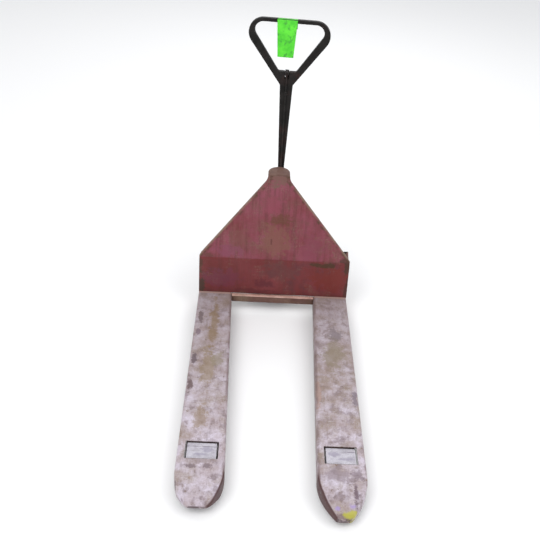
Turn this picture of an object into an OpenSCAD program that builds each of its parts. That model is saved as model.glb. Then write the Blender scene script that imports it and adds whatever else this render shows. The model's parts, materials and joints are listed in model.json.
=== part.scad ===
// Hand pallet jack with a forged loop handle, lowered and standing on the floor.
// X runs across the forks, the fork tips point along -Y, the handle stands at +Y, +Z is up.
// The origin is on the floor, under the middle of the whole jack.
// Inside the modules Y is measured from the front face of the heel, and placed() moves it.

/* [Overall] */
// Fork length, from the heel face to the tips
fork_len = 1220; // [1000:10:1500]
// Width over both forks
overall_w = 686; // [560:2:840]
// Height of the fork tops when lowered
fork_top = 83; // [80:1:100]
// How far the forks rise
lift = 115; // [90:1:125]
// Height of the top of the handle loop
handle_h = 1271; // [1050:1:1530]
// Angle that the steering is turned to at rest, clockwise from above
steer_rest = 5; // [0:1:30]

/* [Forks] */
// Width of one fork at the heel
fork_heel_w = 153; // [145:1:184]
// Width of one fork where its nose starts to taper
fork_front_w = 178; // [168:1:214]
// Thickness of the fork plate
fork_plate = 6; // [4:0.5:7]
// Height of the fork's lower edges over the floor
fork_under = 25; // [20:1:30]
// Length of the tapered nose
nose_l = 156; // [130:1:187]
// Width of the blunt tip
nose_tip_w = 50; // [40:1:60]
// Length over which the top of the nose slopes down
nose_slope_l = 86; // [70:1:88]
// Height of the tip's top edge
nose_tip_z = 47; // [40:1:56]
// Width of the roller window
window_w = 122; // [112:1:130]
// Length of the roller window
window_l = 84; // [82:1:96]
// Distance of the window's middle from the tip
window_back = 253; // [245:1:300]

/* [Heel box and A-frame] */
// Height of the front plate's top edge
band_top = 262; // [250:1:314]
// How far the front plate leans back at its top
band_lean = 24; // [12:1:30]
// Thickness of the front plate, the A-frame plate and the box plates
frame_plate = 6; // [5:0.5:7]
// Depth of the heel box from front to back
box_d = 76; // [70:1:84]
// Height of the box's rear wall
box_wall_h = 58; // [40:1:60]
// Height of the bar between the forks
tie_bar_h = 34; // [28:1:44]
// Thickness of the bar between the forks
tie_bar_t = 22; // [14:1:26]
// Radius of the A-frame plate's lower outer corners
a_corner_r = 36; // [20:1:44]
// Depth of the flanges behind the A-frame's sloping edges
flange_d = 38; // [25:1:45]
// Height of the top of the bearing head
head_top = 626; // [600:1:700]
// Radius of the bearing head
head_r = 48.5; // [44:0.5:56]
// Height of the bearing head block
head_h = 40; // [34:1:48]
// Radius of the hollow where the A-frame's edges flare out of the head
throat_r = 60; // [40:1:70]

/* [Hydraulic unit] */
// Distance of the ram's axis behind the heel face
ram_y = 185; // [178:1:215]
// Diameter of the ram
ram_d = 36; // [30:1:40]
// Outer diameter of the ram's cylinder
cyl_d = 60; // [56:1:64]
// Outer diameter of the oil tank
tank_d = 124; // [104:1:128]
// Height of the oil tank's top
tank_top = 440; // [400:1:470]
// Outer radius of the neck that the lifting collar sits round
neck_r = 34; // [32:0.5:36]
// Diameter of the handle's pivot pin
pivot_d = 20; // [16:1:22]
// Distance of the handle's pivot behind the ram
pivot_back = 110; // [105:1:120]
// Height of the handle's pivot
pivot_z = 290; // [285:1:310]
// Diameter of the pump plunger
plunger_d = 16; // [14:1:16]

/* [Wheels and rollers] */
// Diameter of the steer wheels
wheel_d = 160; // [130:1:162]
// Width of one steer wheel
wheel_w = 46; // [38:1:47]
// Distance of each steer wheel's middle from the ram's axis
wheel_x = 72; // [71:1:76]
// Diameter of the steer axle
axle_d = 25; // [20:1:30]
// Diameter of the load rollers
roller_d = 76; // [64:1:77]
// Width of the load rollers
roller_w = 87; // [72:1:88]
// Diameter of the load roller axles and the push rod pins
yoke_pin_d = 14; // [12:1:15]

/* [Handle] */
// Outer width of the loop
loop_w = 341; // [280:1:410]
// Outer height of the loop, from its top to where the arms meet the shaft
loop_h = 281; // [240:1:320]
// Radius of the loop's two upper corners, outside
loop_corner_r = 62; // [50:1:72]
// Height of the grip bar at the top of the loop
grip_h = 15; // [12:1:20]
// Thickness of the loop's sides and arms
loop_arm = 26; // [20:1:30]
// Depth of the loop and shaft from front to back
handle_d = 24; // [20:1:28]
// Width of the shaft at the top
shaft_top_w = 56; // [46:1:60]
// Width of the shaft at the bottom
shaft_low_w = 28; // [26:1:32]
// Length of the shaft's tapered upper part
shaft_taper_l = 390; // [300:1:420]
// Diameter of the release rod on the shaft
rod_d = 7; // [5:0.5:9]
// Width of the card tag on the grip bar
tag_w = 84; // [60:1:101]
// Length of the card tag in front of the grip bar
tag_l = 154; // [110:1:180]

/* [Hidden] */
$fn = 64;

// Clearances
fit = 0.05;       // radial clearance of a running fit
gap = 0.5;        // gap between pieces that move past each other
over = 1;         // how far a cutter passes the face that it cuts
bore_reach = 60;  // half the length of a cutter for the bores across the handle

// Forks: each is a channel of bent plate, open below
half_w = overall_w / 2;
fork_wall_end = frame_plate;                     // the forks end under the front plate
fork_cx = half_w - fork_front_w / 2;             // middle of a fork at its nose
taper_y = -(fork_len - nose_l);
slope_y = -(fork_len - nose_slope_l);
window_y = -(fork_len - window_back);
function half_gap_at(y) = half_w - fork_heel_w - (fork_front_w - fork_heel_w) * y / taper_y;

// A-frame: the plate stands on the front plate's top edge and leans back to the head
head_let = 4;                                    // the head's round front is let into the plate
head_front = ram_y - head_r + head_let;
head_square = 20;                                // the head is square this far in front of its round part
a_lean = atan((head_front - band_lean) / (head_top - band_top));
a_top_v = (head_top - band_top) / cos(a_lean);   // length of the plate, measured along it
a_back = frame_plate / cos(a_lean);              // the plate's thickness along Y
seat_d = 1;                                      // the front plate is let into the forks this deep
foot_z = fork_top - seat_d;
band_angle = atan(band_lean / (band_top - fork_top));
band_foot_y = frame_plate / cos(band_angle) - seat_d * tan(band_angle);
box_top_y = band_lean + a_back;                  // back of the front plate at its top
shelf_y = box_top_y - (box_top_y - band_foot_y) * frame_plate / (band_top - foot_z);
a_flare_v = a_top_v - head_r * 0.42;             // where the sloping edges would meet the head
a_wide = 6;                                      // how far outside the fold's ends the edges' lines meet it
a_slope = (half_w + a_wide - head_r) / a_flare_v;
flange_in = 1;                                   // the flanges stand back from the plate's edges
flange_t = 1.3 * frame_plate;                    // their thickness, measured along X
flange_top_v = a_flare_v - 40;
gusset_in = 9;                                   // the ribs under the head stand off the ram
gusset_h = 60;
gusset_back = 20;
head_bore_h = 28;

// Steer wheels and the parts they turn with
wheel_r = wheel_d / 2;
hub_r = 60;
bearing_r = 23.5;
bearing_w = 12;
boss_half = wheel_w / 2 - 2;                     // half the length of the hub's boss
boss_t = 9;
rim_half = wheel_w / 2 - 3;
rim_t = 6;
web_half = 8;                                    // half the thickness of the hub's web
tyre_chamfer = 7;
clip_t = 2;
clip_d = axle_d + 9;
clip_slot = 8;
axle_end = wheel_x + wheel_w / 2 + 9;
groove_x = axle_end - 5;                         // inner side of the clips' grooves
groove_d = axle_d - 3;
base_w = 2 * (wheel_x - wheel_w / 2) - 10;       // width of the base casting between the wheels
base_d = 60;                                     // its depth from front to back
base_z0 = wheel_r - 28;
base_z1 = wheel_d - 2;                           // low enough for the rocker's arms to pass over

// Cylinder, ram and tank
tank_r = tank_d / 2;
tank_z = 246;
tank_wall = 5;
tank_floor = 8;
cyl_r = cyl_d / 2;
cyl_bore_r = ram_d / 2 + 4;
cyl_top = tank_top + 30;
gland_h = 22;
gland_rim = 4;
gland_step = 3;                                  // the cylinder is turned down inside the gland nut
gland_cone = 6;
ram_low = 262;
ram_high = head_top - head_h + head_bore_h - gap;
piston_h = 16;
seal_h = 4;
seal_t = 2;
gland_z = cyl_top - gland_h + 8;                 // the gland nut's lower face
plug_x = -(cyl_r + tank_r) / 2;
plug_d = 12;
plug_head_d = 17;
plug_head_h = 7;
cover_plate = 7;                                 // thickness of the tank's cover

// Lifting collar round the neck, with a trunnion pin on each side
collar_z = wheel_d + 30;
collar_h = 16;
collar_r = 44;
collar_play = 0.3;
trunnion_d = 16;
trunnion_out = 3;                                // the trunnions stick out past the arms
arm_x = 47;                                      // inner face of the rocker's rear arms
arm_t = 10;
nut_z = collar_z + collar_h / 2 + gap;
nut_h = 12;
nut_r = collar_r - 2;
nut_notch = 6;

// Rocker: a cross tube in the heel box, rear arms to the collar, lower arms to the push rods
rocker_y = 34;
rocker_z = fork_top + 35;
rocker_r = 17;
rocker_hub_r = rocker_r + 4;
journal_d = 24;
bush_wall = 3;
push_r = 56;                                     // radius of the lower arms
rear_len = ram_y - rocker_y;                     // distance from the tube to the trunnions
rear_up = collar_z - rocker_z;
rocker_a0 = atan(rear_up / rear_len);
rocker_a1 = atan((rear_up - lift) / rear_len);
rocker_swing = rocker_a0 - rocker_a1;
push_pin_y = rocker_y + push_r * sin(rocker_swing / 2);
push_pin_z = rocker_z - push_r * cos(rocker_swing / 2);
push_travel = 2 * push_r * sin(rocker_swing / 2);
slot_w = trunnion_d + 5.5;                       // room for the collar's straight path
slot_run = 22;
slot_wall = 5;
rear_arm_r = 8;
rear_bend = [rear_len * 0.42, rear_up - 2];      // where the rear arms are cranked
push_dir = [push_pin_y - rocker_y, push_pin_z - rocker_z];
push_arm_x = 19;                                 // the lower arms stand this far off a fork's middle
push_eye_r = 9;
rod_pin_d = 10;
rod_pin_out = 9;                                 // reach of these pins past the arms' middles

// Load rollers, each in a yoke that swings on a pin near the fork's nose
roller_r = roller_d / 2;
roller_chamfer = 3;
yoke_r = 155;                                    // from the yoke's pivot to the roller's axle
yoke_z = fork_top - 20;
yoke_a0 = asin((yoke_z - roller_r) / yoke_r);
yoke_a1 = asin((yoke_z - roller_r + lift) / yoke_r);
yoke_swing = yoke_a1 - yoke_a0;
yoke_y = window_y - yoke_r * cos(yoke_a0);
crank_r = push_travel / (2 * sin(yoke_swing / 2));
crank_y = yoke_y + crank_r * sin(yoke_swing / 2);
crank_z = yoke_z - crank_r * cos(yoke_swing / 2);
yoke_plate = 8;
yoke_in = roller_w / 2 + 2.5;                    // inner face of the yoke's cheeks
yoke_out = yoke_in + yoke_plate;
yoke_pivot_d = 14;
yoke_eye_r = 10.5;
yoke_axle_r = 14;
yoke_pin_wall = 2.5;
cover_t = 4;
cover_front = -window_l / 2 + 2.5;               // ends of the cover, measured from the roller's axle
cover_back = window_l / 2 - 5.5;
cover_crease = 17;                               // behind this line the cover slopes down
cover_fall = 3;
cover_z = 2 * roller_r + 1;                      // underside of the cover over the roller
pivot_reach = nose_half((taper_y - yoke_y) / nose_l, 0) - 1;
rod_eye_r = 8;
rod_eye_w = 24;
rod_eye_l = 40;
rod_bar_t = 5;
rod_bar_back = 10;                               // the clevis bar stands behind the side bars' ends
clevis_t = 12;
rod_bar_in = yoke_out + 1.5;                     // inner face of the push rod's side bars
rod_tube_r = 10.5;
rod_play = 1.8;                                  // radial play of the rod on the yoke's pin
clevis_y = window_y + roller_r + 50;
rod_tilt = atan((push_pin_z - crank_z) / (push_pin_y - crank_y));

// Handle pivot, pumping roller and plunger, measured from the ram's axis and the pivot
bracket_z0 = tank_z + 14;                        // lower edge of the bracket's clamp
bracket_z1 = pivot_z + 26;
web_y = tank_r - 6;                              // web between the bracket's cheeks
web_d = 40;
web_t = 10;
clamp_t = 8;
cheek_in = 22;
cheek_t = 12;
cheek_r = 20;
lug_in = 13;                                     // inner face of the handle's own lugs
lug_t = 8;
lug_r = 18;
lug_top = 34;                                    // the lugs run up into the shaft
pump_roller_r = 12;
pump_eye_r = 9;
pump_arm = 26;                                   // from the pivot to the pumping roller
pump_angle = 39;                                 // angle of that arm over the horizontal, at rest
handle_tilt = 2 * pump_angle;
pump_y = pump_arm * cos(pump_angle);
pump_z = pump_arm * sin(pump_angle);
pump_gap = 1.3;                                  // keeps the roller off the cap all the way
plunger_back = pivot_back + pump_arm;
plunger_top = pivot_z + pump_z - pump_roller_r - pump_gap;
plunger_stroke = 2 * pump_z;
cap_r = 11.5;
cap_h = 6;
barrel_r = 17;
barrel_top = pivot_z - 62;
barrel_low = barrel_top - 62;
barrel_floor = 5;
barrel_ear_d = 28;                               // block that holds the barrel between the cheeks
barrel_ear_h = 20;
barrel_ear_z = barrel_top - 24;
cheek_low = barrel_top - 26;
cheek_back = plunger_back + 16;
plunger_low = barrel_low + barrel_floor + 1 + plunger_stroke;
spring_wire = 3;
spring_turns = 7;
spring_r = plunger_d / 2 + 0.7 + spring_wire / 2;
spring_low = barrel_top + spring_wire / 2 + 0.1;
spring_high = plunger_top - cap_h - spring_wire / 2 - 0.1;

// Release gear: lever in the throat, rod down the shaft, chain and valve arm at the pivot
lever_w = 16;
lever_r = 13;
finger_r = 4;
tail = [30, -46];                                // tip of the lever's finger tail
throat_top = handle_h - loop_h + 60;             // upper edge of the web between the arms
lever_z = throat_top - 7;
slot_play = 0.4;
slot_low = lever_z - lever_r - 12;               // lower end of the slot for the lever in the web
pin_d = 8;
rod_y = -handle_d / 2 - rod_d / 2 - 0.6;         // the rod lies in front of the shaft
rod_low = pivot_z + 30;
rod_slot = rod_d + 2.4;                          // slot in the lever for the rod
cross_r = 2;                                     // cross pin in the rod, over the lever's fork
cross_gap = 0.8;
guide_h = 14;
guide_wall = 3;
guide_end = 40;
valve_arm_l = 18;
valve_y = pivot_back - 14 - valve_arm_l;
valve_z = pivot_z - 6;
valve_pin_d = 6;
valve_arm_r = 3;
valve_arm_w = 10;
valve_eye_r = 6;
stem_y = valve_y + 0.6 * valve_arm_l;
stem_r = 4;
stem_out = 4;                                    // the stem sticks out below the bracket's web
stem_top = valve_z - valve_arm_r - gap;
link_r = 6.5;                                    // mean radius of a chain link
link_wire = 2.8;
link_sag = 0.5;
link_pitch = 2 * link_r - link_wire - 0.1;       // keeps the links just clear of each other
rod_hole_z = rod_low + 4;                        // hole in the rod's lower end for the first link
rod_hole_r = 2;
rod_tongue = 3;

// The handle stands upright over its pivot
shaft_low = pivot_z + 32;
arm_meet = handle_h - loop_h;                    // where the arms leave the shaft
corner_x = loop_w / 2 - loop_corner_r;
corner_z = handle_h - loop_corner_r;
throat_half = 0.68 * shaft_top_w;
shoulder_h = 26;

tag_t = 0.8;
tag_slack = 0.2;
tag_back_l = 40;
tag_draw_left = 12;                              // how much narrower its lower end is on each side
tag_draw_right = 5;
tag_x = -11;                                     // the tag hangs off the middle of the grip

// The whole jack is moved along Y so that the origin is under its middle
rear_reach = cheek_back * cos(steer_rest) + (cheek_in + cheek_t) * sin(steer_rest);
heel_y = (fork_len - ram_y - rear_reach) / 2;

fork_paint = "#b3a5ab";
frame_red = "#8b4048";
band_red = "#73343a";
bare_steel = "#9a9794";
dark_iron = "#2c2624";
rust = "#7d5e4c";
pump_grey = "#5b5552";
rubber = "#3a3633";

module placed() {
    translate([0, heel_y, 0]) children();
}

// Everything under the ram turns with the steering
module steered() {
    placed() translate([0, ram_y, 0]) rotate([0, 0, -steer_rest]) children();
}

// A plate's own plane: X across, Y up along the plate, the plate lies behind it
module on_a_frame() {
    translate([0, band_lean, band_top]) rotate([90 - a_lean, 0, 0]) children();
}

// A cylinder along X between two places
module bar_x(d, x0, x1) {
    translate([x0, 0, 0]) rotate([0, 90, 0]) cylinder(d = d, h = x1 - x0);
}

// An outline drawn in Y and Z, given a thickness along X
module slab_x(x0, x1) {
    translate([x0, 0, 0]) rotate([90, 0, 90]) linear_extrude(x1 - x0) children();
}

// A straight strip with round ends between two points
module strip(p, q, r) {
    d = q - p;
    translate(p) circle(r = r);
    translate(q) circle(r = r);
    translate(p) rotate(atan2(d[1], d[0])) translate([0, -r]) square([norm(d), 2 * r]);
}

/* ---- Forks and frame ---- */

// Plan of the right fork, drawn in by an inset for the hollow inside
function nose_half(t, inset) = fork_front_w / 2 - (fork_front_w - nose_tip_w) / 2 * t * t - inset;

module fork_plan(inset, back) {
    steps = 10;
    run = nose_l - inset;
    far = [for (i = [0 : steps]) [fork_cx + nose_half(i / steps, inset), taper_y - run * i / steps]];
    near = [for (i = [steps : -1 : 0]) [fork_cx - nose_half(i / steps, inset), taper_y - run * i / steps]];
    polygon(concat(
        [[half_w - inset, back]], far, near,
        [[half_w - fork_heel_w + inset, 0], [half_w - fork_heel_w + inset, back]]));
}

module fork_side(drop) {
    slab_x(0, half_w + over)
        polygon([[2 * fork_wall_end, -over], [2 * fork_wall_end, foot_z - drop], [0, foot_z - drop],
                 [0, fork_top - drop], [slope_y, fork_top - drop], [-fork_len - over, nose_tip_z - drop],
                 [-fork_len - over, -over]]);
}

module fork_channel() {
    difference() {
        intersection() {
            translate([0, 0, fork_under]) linear_extrude(fork_top) fork_plan(0, fork_wall_end);
            fork_side(0);
        }
        intersection() {
            translate([0, 0, -over]) linear_extrude(fork_top + 2 * over)
                fork_plan(fork_plate, fork_wall_end + over);
            fork_side(fork_plate);
        }
        translate([fork_cx - window_w / 2, window_y - window_l / 2, fork_top - fork_plate - over])
            cube([window_w, window_l, fork_plate + 2 * over]);
        translate([0, yoke_y, yoke_z]) bar_x(yoke_pivot_d, half_w - fork_front_w - over, half_w + over);
    }
}

module fork_right() color(fork_paint) placed() fork_channel();

module fork_left() color(fork_paint) placed() mirror([1, 0, 0]) fork_channel();

// Leaning front plate of the heel box, standing in a shallow seat across the forks
module front_plate() color(band_red) placed()
    slab_x(-half_w, half_w)
        polygon([[0, foot_z], [band_foot_y, foot_z], [box_top_y, band_top], [band_lean, band_top],
                 [0, fork_top]]);

// Outline of the A-frame plate: round corners below, sloping edges, hollow flare to the head
function a_edge(v) = half_w + a_wide - a_slope * v;

module a_frame_outline() {
    steps = 8;
    turn = atan(a_slope);
    corner_v = a_corner_r * tan((90 - turn) / 2) * 0.5;
    flare_x = head_r + throat_r;
    flare_v = a_flare_v + throat_r * tan(turn / 2) + 2;
    side = concat(
        [[half_w, 0]],
        [for (i = [0 : steps]) let (s = i / steps, k = (1 - s) * (1 - s))
            [half_w * k + a_edge(a_corner_r) * s * s + 2 * s * (1 - s) * half_w,
             a_corner_r * s * s + 2 * s * (1 - s) * corner_v]],
        [for (i = [0 : steps]) let (a = turn - turn * i / steps)
            [flare_x - throat_r * cos(a), flare_v - throat_r * sin(a)]],
        [[head_r, a_top_v]]);
    polygon(concat(side, [for (i = [len(side) - 1 : -1 : 0]) [-side[i][0], side[i][1]]]));
}

module a_frame_plate() color(frame_red) placed() intersection() {
    on_a_frame() translate([0, 0, -frame_plate]) linear_extrude(frame_plate)
        union() {
            a_frame_outline();
            translate([-half_w, -frame_plate]) square([overall_w, frame_plate + over]);
            translate([-head_r, a_top_v - over]) square([2 * head_r, frame_plate]);
        }
    translate([-overall_w, 0, band_top]) cube([2 * overall_w, 2 * ram_y, head_top - band_top]);
}

// Stiffening flanges behind the sloping edges
module a_frame_flanges() color(frame_red) placed() for (m = [0, 1]) mirror([m, 0, 0])
    on_a_frame() translate([0, 0, -frame_plate - flange_d]) linear_extrude(flange_d)
        polygon([[a_edge(flange_d) - flange_in, flange_d],
                 [a_edge(flange_top_v) - flange_in, flange_top_v],
                 [a_edge(flange_top_v) - flange_in - flange_t, flange_top_v],
                 [a_edge(flange_d) - flange_in - flange_t, flange_d]]);

// Bearing head on the ram's top: a round block, square where it meets the plate
module apex_head() color(rust) placed() difference() {
    translate([0, 0, head_top - head_h]) linear_extrude(head_h) union() {
        translate([0, ram_y]) circle(r = head_r);
        translate([-head_r, ram_y - head_r - head_square]) square([2 * head_r, head_r + head_square]);
    }
    on_a_frame() translate([-overall_w, -a_top_v, -frame_plate]) cube([2 * overall_w, 4 * a_top_v, ram_y]);
    translate([0, ram_y, head_top - head_h - over])
        cylinder(d = ram_d + 2 * fit, h = head_bore_h + over);
}

// Two ribs under the head, one on each side of the ram
module head_gussets() color(frame_red) placed() difference() {
    for (m = [0, 1]) mirror([m, 0, 0])
        slab_x(ram_d / 2 + gusset_in, ram_d / 2 + gusset_in + frame_plate)
            polygon([[head_front - gusset_h, head_top - head_h - gusset_h],
                     [ram_y - gusset_back, head_top - head_h - gusset_h],
                     [ram_y + gusset_back, head_top - head_h], [head_front - gusset_h, head_top - head_h]]);
    on_a_frame() translate([-overall_w, -a_top_v, -frame_plate]) cube([2 * overall_w, 4 * a_top_v, ram_y]);
}

// Bent plate that closes the heel box above and behind
module box_channel() color(band_red) placed()
    slab_x(-half_w + frame_plate, half_w - frame_plate)
        polygon([[shelf_y, band_top - frame_plate],
                 [box_top_y, band_top], [box_d, band_top],
                 [box_d, band_top - box_wall_h], [box_d - frame_plate, band_top - box_wall_h],
                 [box_d - frame_plate, band_top - frame_plate]]);

// End plates of the heel box, which carry the rocker
module side_plate() difference() {
    slab_x(half_w - frame_plate, half_w)
        polygon([[frame_plate, fork_under], [frame_plate, foot_z],
                 [band_foot_y, foot_z], [box_top_y, band_top],
                 [box_d, band_top], [box_d, band_top - box_wall_h], [box_d - 12, rocker_z - 20],
                 [box_d - 34, fork_under]]);
    translate([0, rocker_y, rocker_z])
        bar_x(journal_d + 2 * bush_wall, half_w - frame_plate - over, half_w + over);
}

module side_plate_right() color(band_red) placed() side_plate();

module side_plate_left() color(band_red) placed() mirror([1, 0, 0]) side_plate();

// Flat bar between the forks, in front of the front plate's foot
module lower_tie_bar() color(rust) placed()
    translate([0, 0, fork_top - tie_bar_h - 1]) linear_extrude(tie_bar_h)
        polygon([[-half_gap_at(0), 0], [half_gap_at(0), 0],
                 [half_gap_at(-tie_bar_t), -tie_bar_t], [-half_gap_at(-tie_bar_t), -tie_bar_t]]);

// Flanged bushes for the rocker's ends
module rocker_bushes() color(bare_steel) placed() for (m = [0, 1]) mirror([m, 0, 0])
    translate([0, rocker_y, rocker_z]) difference() {
        union() {
            bar_x(journal_d + 2 * bush_wall, half_w - frame_plate, half_w);
            bar_x(journal_d + 4 * bush_wall, half_w - frame_plate - bush_wall, half_w - frame_plate);
        }
        bar_x(journal_d + 2 * fit, half_w - 3 * frame_plate, half_w + over);
    }

// Pins that the load yokes swing on
module yoke_pivot_pins() color(bare_steel) placed() for (m = [0, 1]) mirror([m, 0, 0])
    translate([0, yoke_y, yoke_z]) difference() {
        bar_x(yoke_pivot_d, fork_cx - pivot_reach, fork_cx + pivot_reach);
        for (s = [-1, 1]) translate([fork_cx + s * (pivot_reach + 0.5), 0, 0])
            rotate([0, 90, 0]) cylinder(d = yoke_pivot_d / 2, h = 4, center = true);
    }

/* ---- Ram, cylinder and tank ---- */

module ram() color(bare_steel) steered() union() {
    translate([0, 0, ram_low]) cylinder(d = ram_d, h = ram_high - ram_low);
    translate([0, 0, ram_low]) difference() {
        cylinder(r = cyl_bore_r - fit, h = piston_h);
        translate([0, 0, (piston_h - seal_h) / 2]) difference() {
            cylinder(r = cyl_bore_r + over, h = seal_h);
            cylinder(r = cyl_bore_r - seal_t, h = seal_h);
        }
    }
}

// Ring seal in the piston's groove
module piston_seal() color(rubber) steered() translate([0, 0, ram_low + (piston_h - seal_h) / 2])
    difference() {
        cylinder(r = cyl_bore_r - fit, h = seal_h);
        translate([0, 0, -over]) cylinder(r = cyl_bore_r - seal_t, h = seal_h + 2 * over);
    }

// Base casting: the axle's block, the collar's neck and a flange under the tank
module pump_base() color(pump_grey) steered() difference() {
    union() {
        translate([-base_w / 2, -base_d / 2, base_z0]) cube([base_w, base_d, base_z1 - base_z0]);
        translate([0, 0, wheel_r]) cylinder(r = neck_r, h = tank_z - wheel_r);
    }
    translate([0, 0, wheel_r]) bar_x(axle_d + 2 * fit, -base_w, base_w);
}

// Cylinder, closed below and stepped at the top for the gland nut
module cylinder_tube() color(pump_grey) steered() difference() {
    translate([0, 0, tank_z]) cylinder(r = cyl_r, h = cyl_top - tank_z);
    translate([0, 0, tank_z + tank_floor]) cylinder(r = cyl_bore_r, h = cyl_top);
    translate([0, 0, gland_z]) difference() {
        cylinder(r = cyl_r + over, h = cyl_top);
        cylinder(r = cyl_r - gland_step, h = cyl_top);
    }
}

// Nut that closes the cylinder round the ram
module gland_nut() color(bare_steel) steered() translate([0, 0, gland_z]) difference() {
    union() {
        cylinder(r = cyl_r + gland_rim, h = gland_h);
        translate([0, 0, gland_h])
            cylinder(r1 = cyl_r + gland_rim, r2 = cyl_r - gland_rim, h = gland_cone);
    }
    translate([0, 0, -over]) cylinder(d = ram_d + 2 * fit, h = gland_h + gland_cone + 2 * over);
    translate([0, 0, -over]) cylinder(r = cyl_r - gland_step, h = cyl_top - gland_z + over);
}

module oil_tank() color(pump_grey) steered() difference() {
    translate([0, 0, tank_z]) cylinder(r = tank_r, h = tank_top - tank_z);
    translate([0, 0, tank_z + tank_floor]) cylinder(r = tank_r - tank_wall, h = tank_top);
    translate([0, 0, tank_z - over]) cylinder(r = cyl_r, h = tank_top);
}

module tank_cover() color(pump_grey) steered() translate([0, 0, tank_top]) difference() {
    cylinder(r = tank_r, h = cover_plate);
    translate([0, 0, -over]) cylinder(r = cyl_r, h = cover_plate + 2 * over);
    translate([plug_x, 0, -over]) cylinder(d = plug_d, h = cover_plate + 2 * over);
}

// Screw plug in the tank's cover
module filler_plug() color(bare_steel) steered() translate([plug_x, 0, tank_top + cover_plate]) union() {
    translate([0, 0, -cover_plate]) cylinder(d = plug_d, h = cover_plate + over);
    cylinder(d = plug_head_d, h = plug_head_h, $fn = 6);
}

// Nut over the lifting collar, which pulls it down as the ram rises
module collar_nut() color(bare_steel) steered() translate([0, 0, nut_z]) difference() {
    cylinder(r = nut_r, h = nut_h);
    translate([0, 0, -over]) cylinder(r = neck_r, h = nut_h + 2 * over);
    for (a = [0 : 60 : 300]) rotate(a) translate([nut_r, 0, nut_h / 2])
        cube([nut_notch, nut_notch, nut_h + over], center = true);
}

/* ---- Handle bracket, pump and release valve ---- */

// Clamp round the tank with two cheeks that carry the handle's pivot and the pump's barrel
module cheek_outline() {
    translate([pivot_back, pivot_z]) circle(r = cheek_r);
    polygon([[tank_r - clamp_t, bracket_z0], [pivot_back - cheek_r, bracket_z0],
             [pivot_back - cheek_r + 6, cheek_low], [cheek_back - 8, cheek_low], [cheek_back, cheek_low + 8],
             [cheek_back, barrel_top + 2], [pivot_back + cheek_r, pivot_z],
             [pivot_back, pivot_z + cheek_r], [tank_r - clamp_t, bracket_z1]]);
}

module handle_bracket() color(pump_grey) steered() difference() {
    union() {
        translate([0, 0, bracket_z0]) cylinder(r = tank_r + clamp_t, h = bracket_z1 - bracket_z0);
        for (s = [0, 1]) mirror([s, 0, 0]) slab_x(cheek_in, cheek_in + cheek_t) cheek_outline();
        translate([-cheek_in, web_y, bracket_z0]) cube([2 * cheek_in, web_d, web_t]);
    }
    translate([0, 0, bracket_z0 - over]) cylinder(r = tank_r, h = bracket_z1);
    translate([0, pivot_back, pivot_z]) bar_x(pivot_d + 2 * fit, -bore_reach, bore_reach);
    translate([0, valve_y, valve_z]) bar_x(valve_pin_d, -bore_reach, bore_reach);
    translate([0, stem_y, bracket_z0 - over]) cylinder(r = stem_r, h = web_t + 2 * over);
}

// Pump barrel, held between the bracket's cheeks
module plunger_barrel() color(pump_grey) steered() translate([0, plunger_back, 0]) difference() {
    union() {
        translate([0, 0, barrel_low]) cylinder(r = barrel_r, h = barrel_top - barrel_low);
        translate([-cheek_in, -barrel_ear_d / 2, barrel_ear_z])
            cube([2 * cheek_in, barrel_ear_d, barrel_ear_h]);
    }
    translate([0, 0, barrel_low + barrel_floor]) cylinder(d = plunger_d + 2 * fit, h = barrel_top);
}

module plunger() color(bare_steel) steered() translate([0, plunger_back, 0]) union() {
    translate([0, 0, plunger_low]) cylinder(d = plunger_d, h = plunger_top - plunger_low);
    translate([0, 0, plunger_top - cap_h]) cylinder(r = cap_r, h = cap_h);
}

// Closed tube swept along points that all lie on one path
function ring_at(p, t, r, n) =
    let (t1 = t / norm(t), s = cross(t1, abs(t1[2]) < 0.9 ? [0, 0, 1] : [1, 0, 0]),
         s1 = s / norm(s), u1 = cross(s1, t1))
    [for (k = [0 : n - 1]) p + r * (cos(360 * k / n) * s1 + sin(360 * k / n) * u1)];

module sweep(path, r, n) {
    m = len(path);
    rings = [for (i = [0 : m - 1]) ring_at(path[i], path[min(i + 1, m - 1)] - path[max(i - 1, 0)], r, n)];
    points = [for (g = rings) for (p = g) p];
    sides = [for (i = [0 : m - 2]) for (k = [0 : n - 1])
        [i * n + k, (i + 1) * n + k, (i + 1) * n + (k + 1) % n, i * n + (k + 1) % n]];
    ends = [[for (k = [0 : n - 1]) k], [for (k = [n - 1 : -1 : 0]) (m - 1) * n + k]];
    polyhedron(points = points, faces = concat(sides, ends), convexity = 10);
}

// Return spring round the plunger
module plunger_spring() color(bare_steel) steered() translate([0, plunger_back, 0]) {
    steps = 20 * spring_turns;
    sweep([for (i = [0 : steps])
        [spring_r * cos(360 * spring_turns * i / steps), spring_r * sin(360 * spring_turns * i / steps),
         spring_low + (spring_high - spring_low) * i / steps]], spring_wire / 2, 8);
}

module handle_pivot_pin() color(bare_steel) steered() translate([0, pivot_back, pivot_z]) union() {
    bar_x(pivot_d, -cheek_in - cheek_t, cheek_in + cheek_t + 1);
    for (s = [0, 1]) mirror([s, 0, 0]) bar_x(pivot_d + 8, cheek_in + cheek_t, cheek_in + cheek_t + 5);
}

module valve_arm_pin() color(bare_steel) steered() translate([0, valve_y, valve_z])
    bar_x(valve_pin_d, -cheek_in - cheek_t, cheek_in + cheek_t);

// Valve stem in the bracket's web, under the valve arm
module release_valve() color(bare_steel) steered()
    translate([0, stem_y, bracket_z0 - stem_out]) cylinder(r = stem_r, h = stem_top - bracket_z0 + stem_out);

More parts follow.
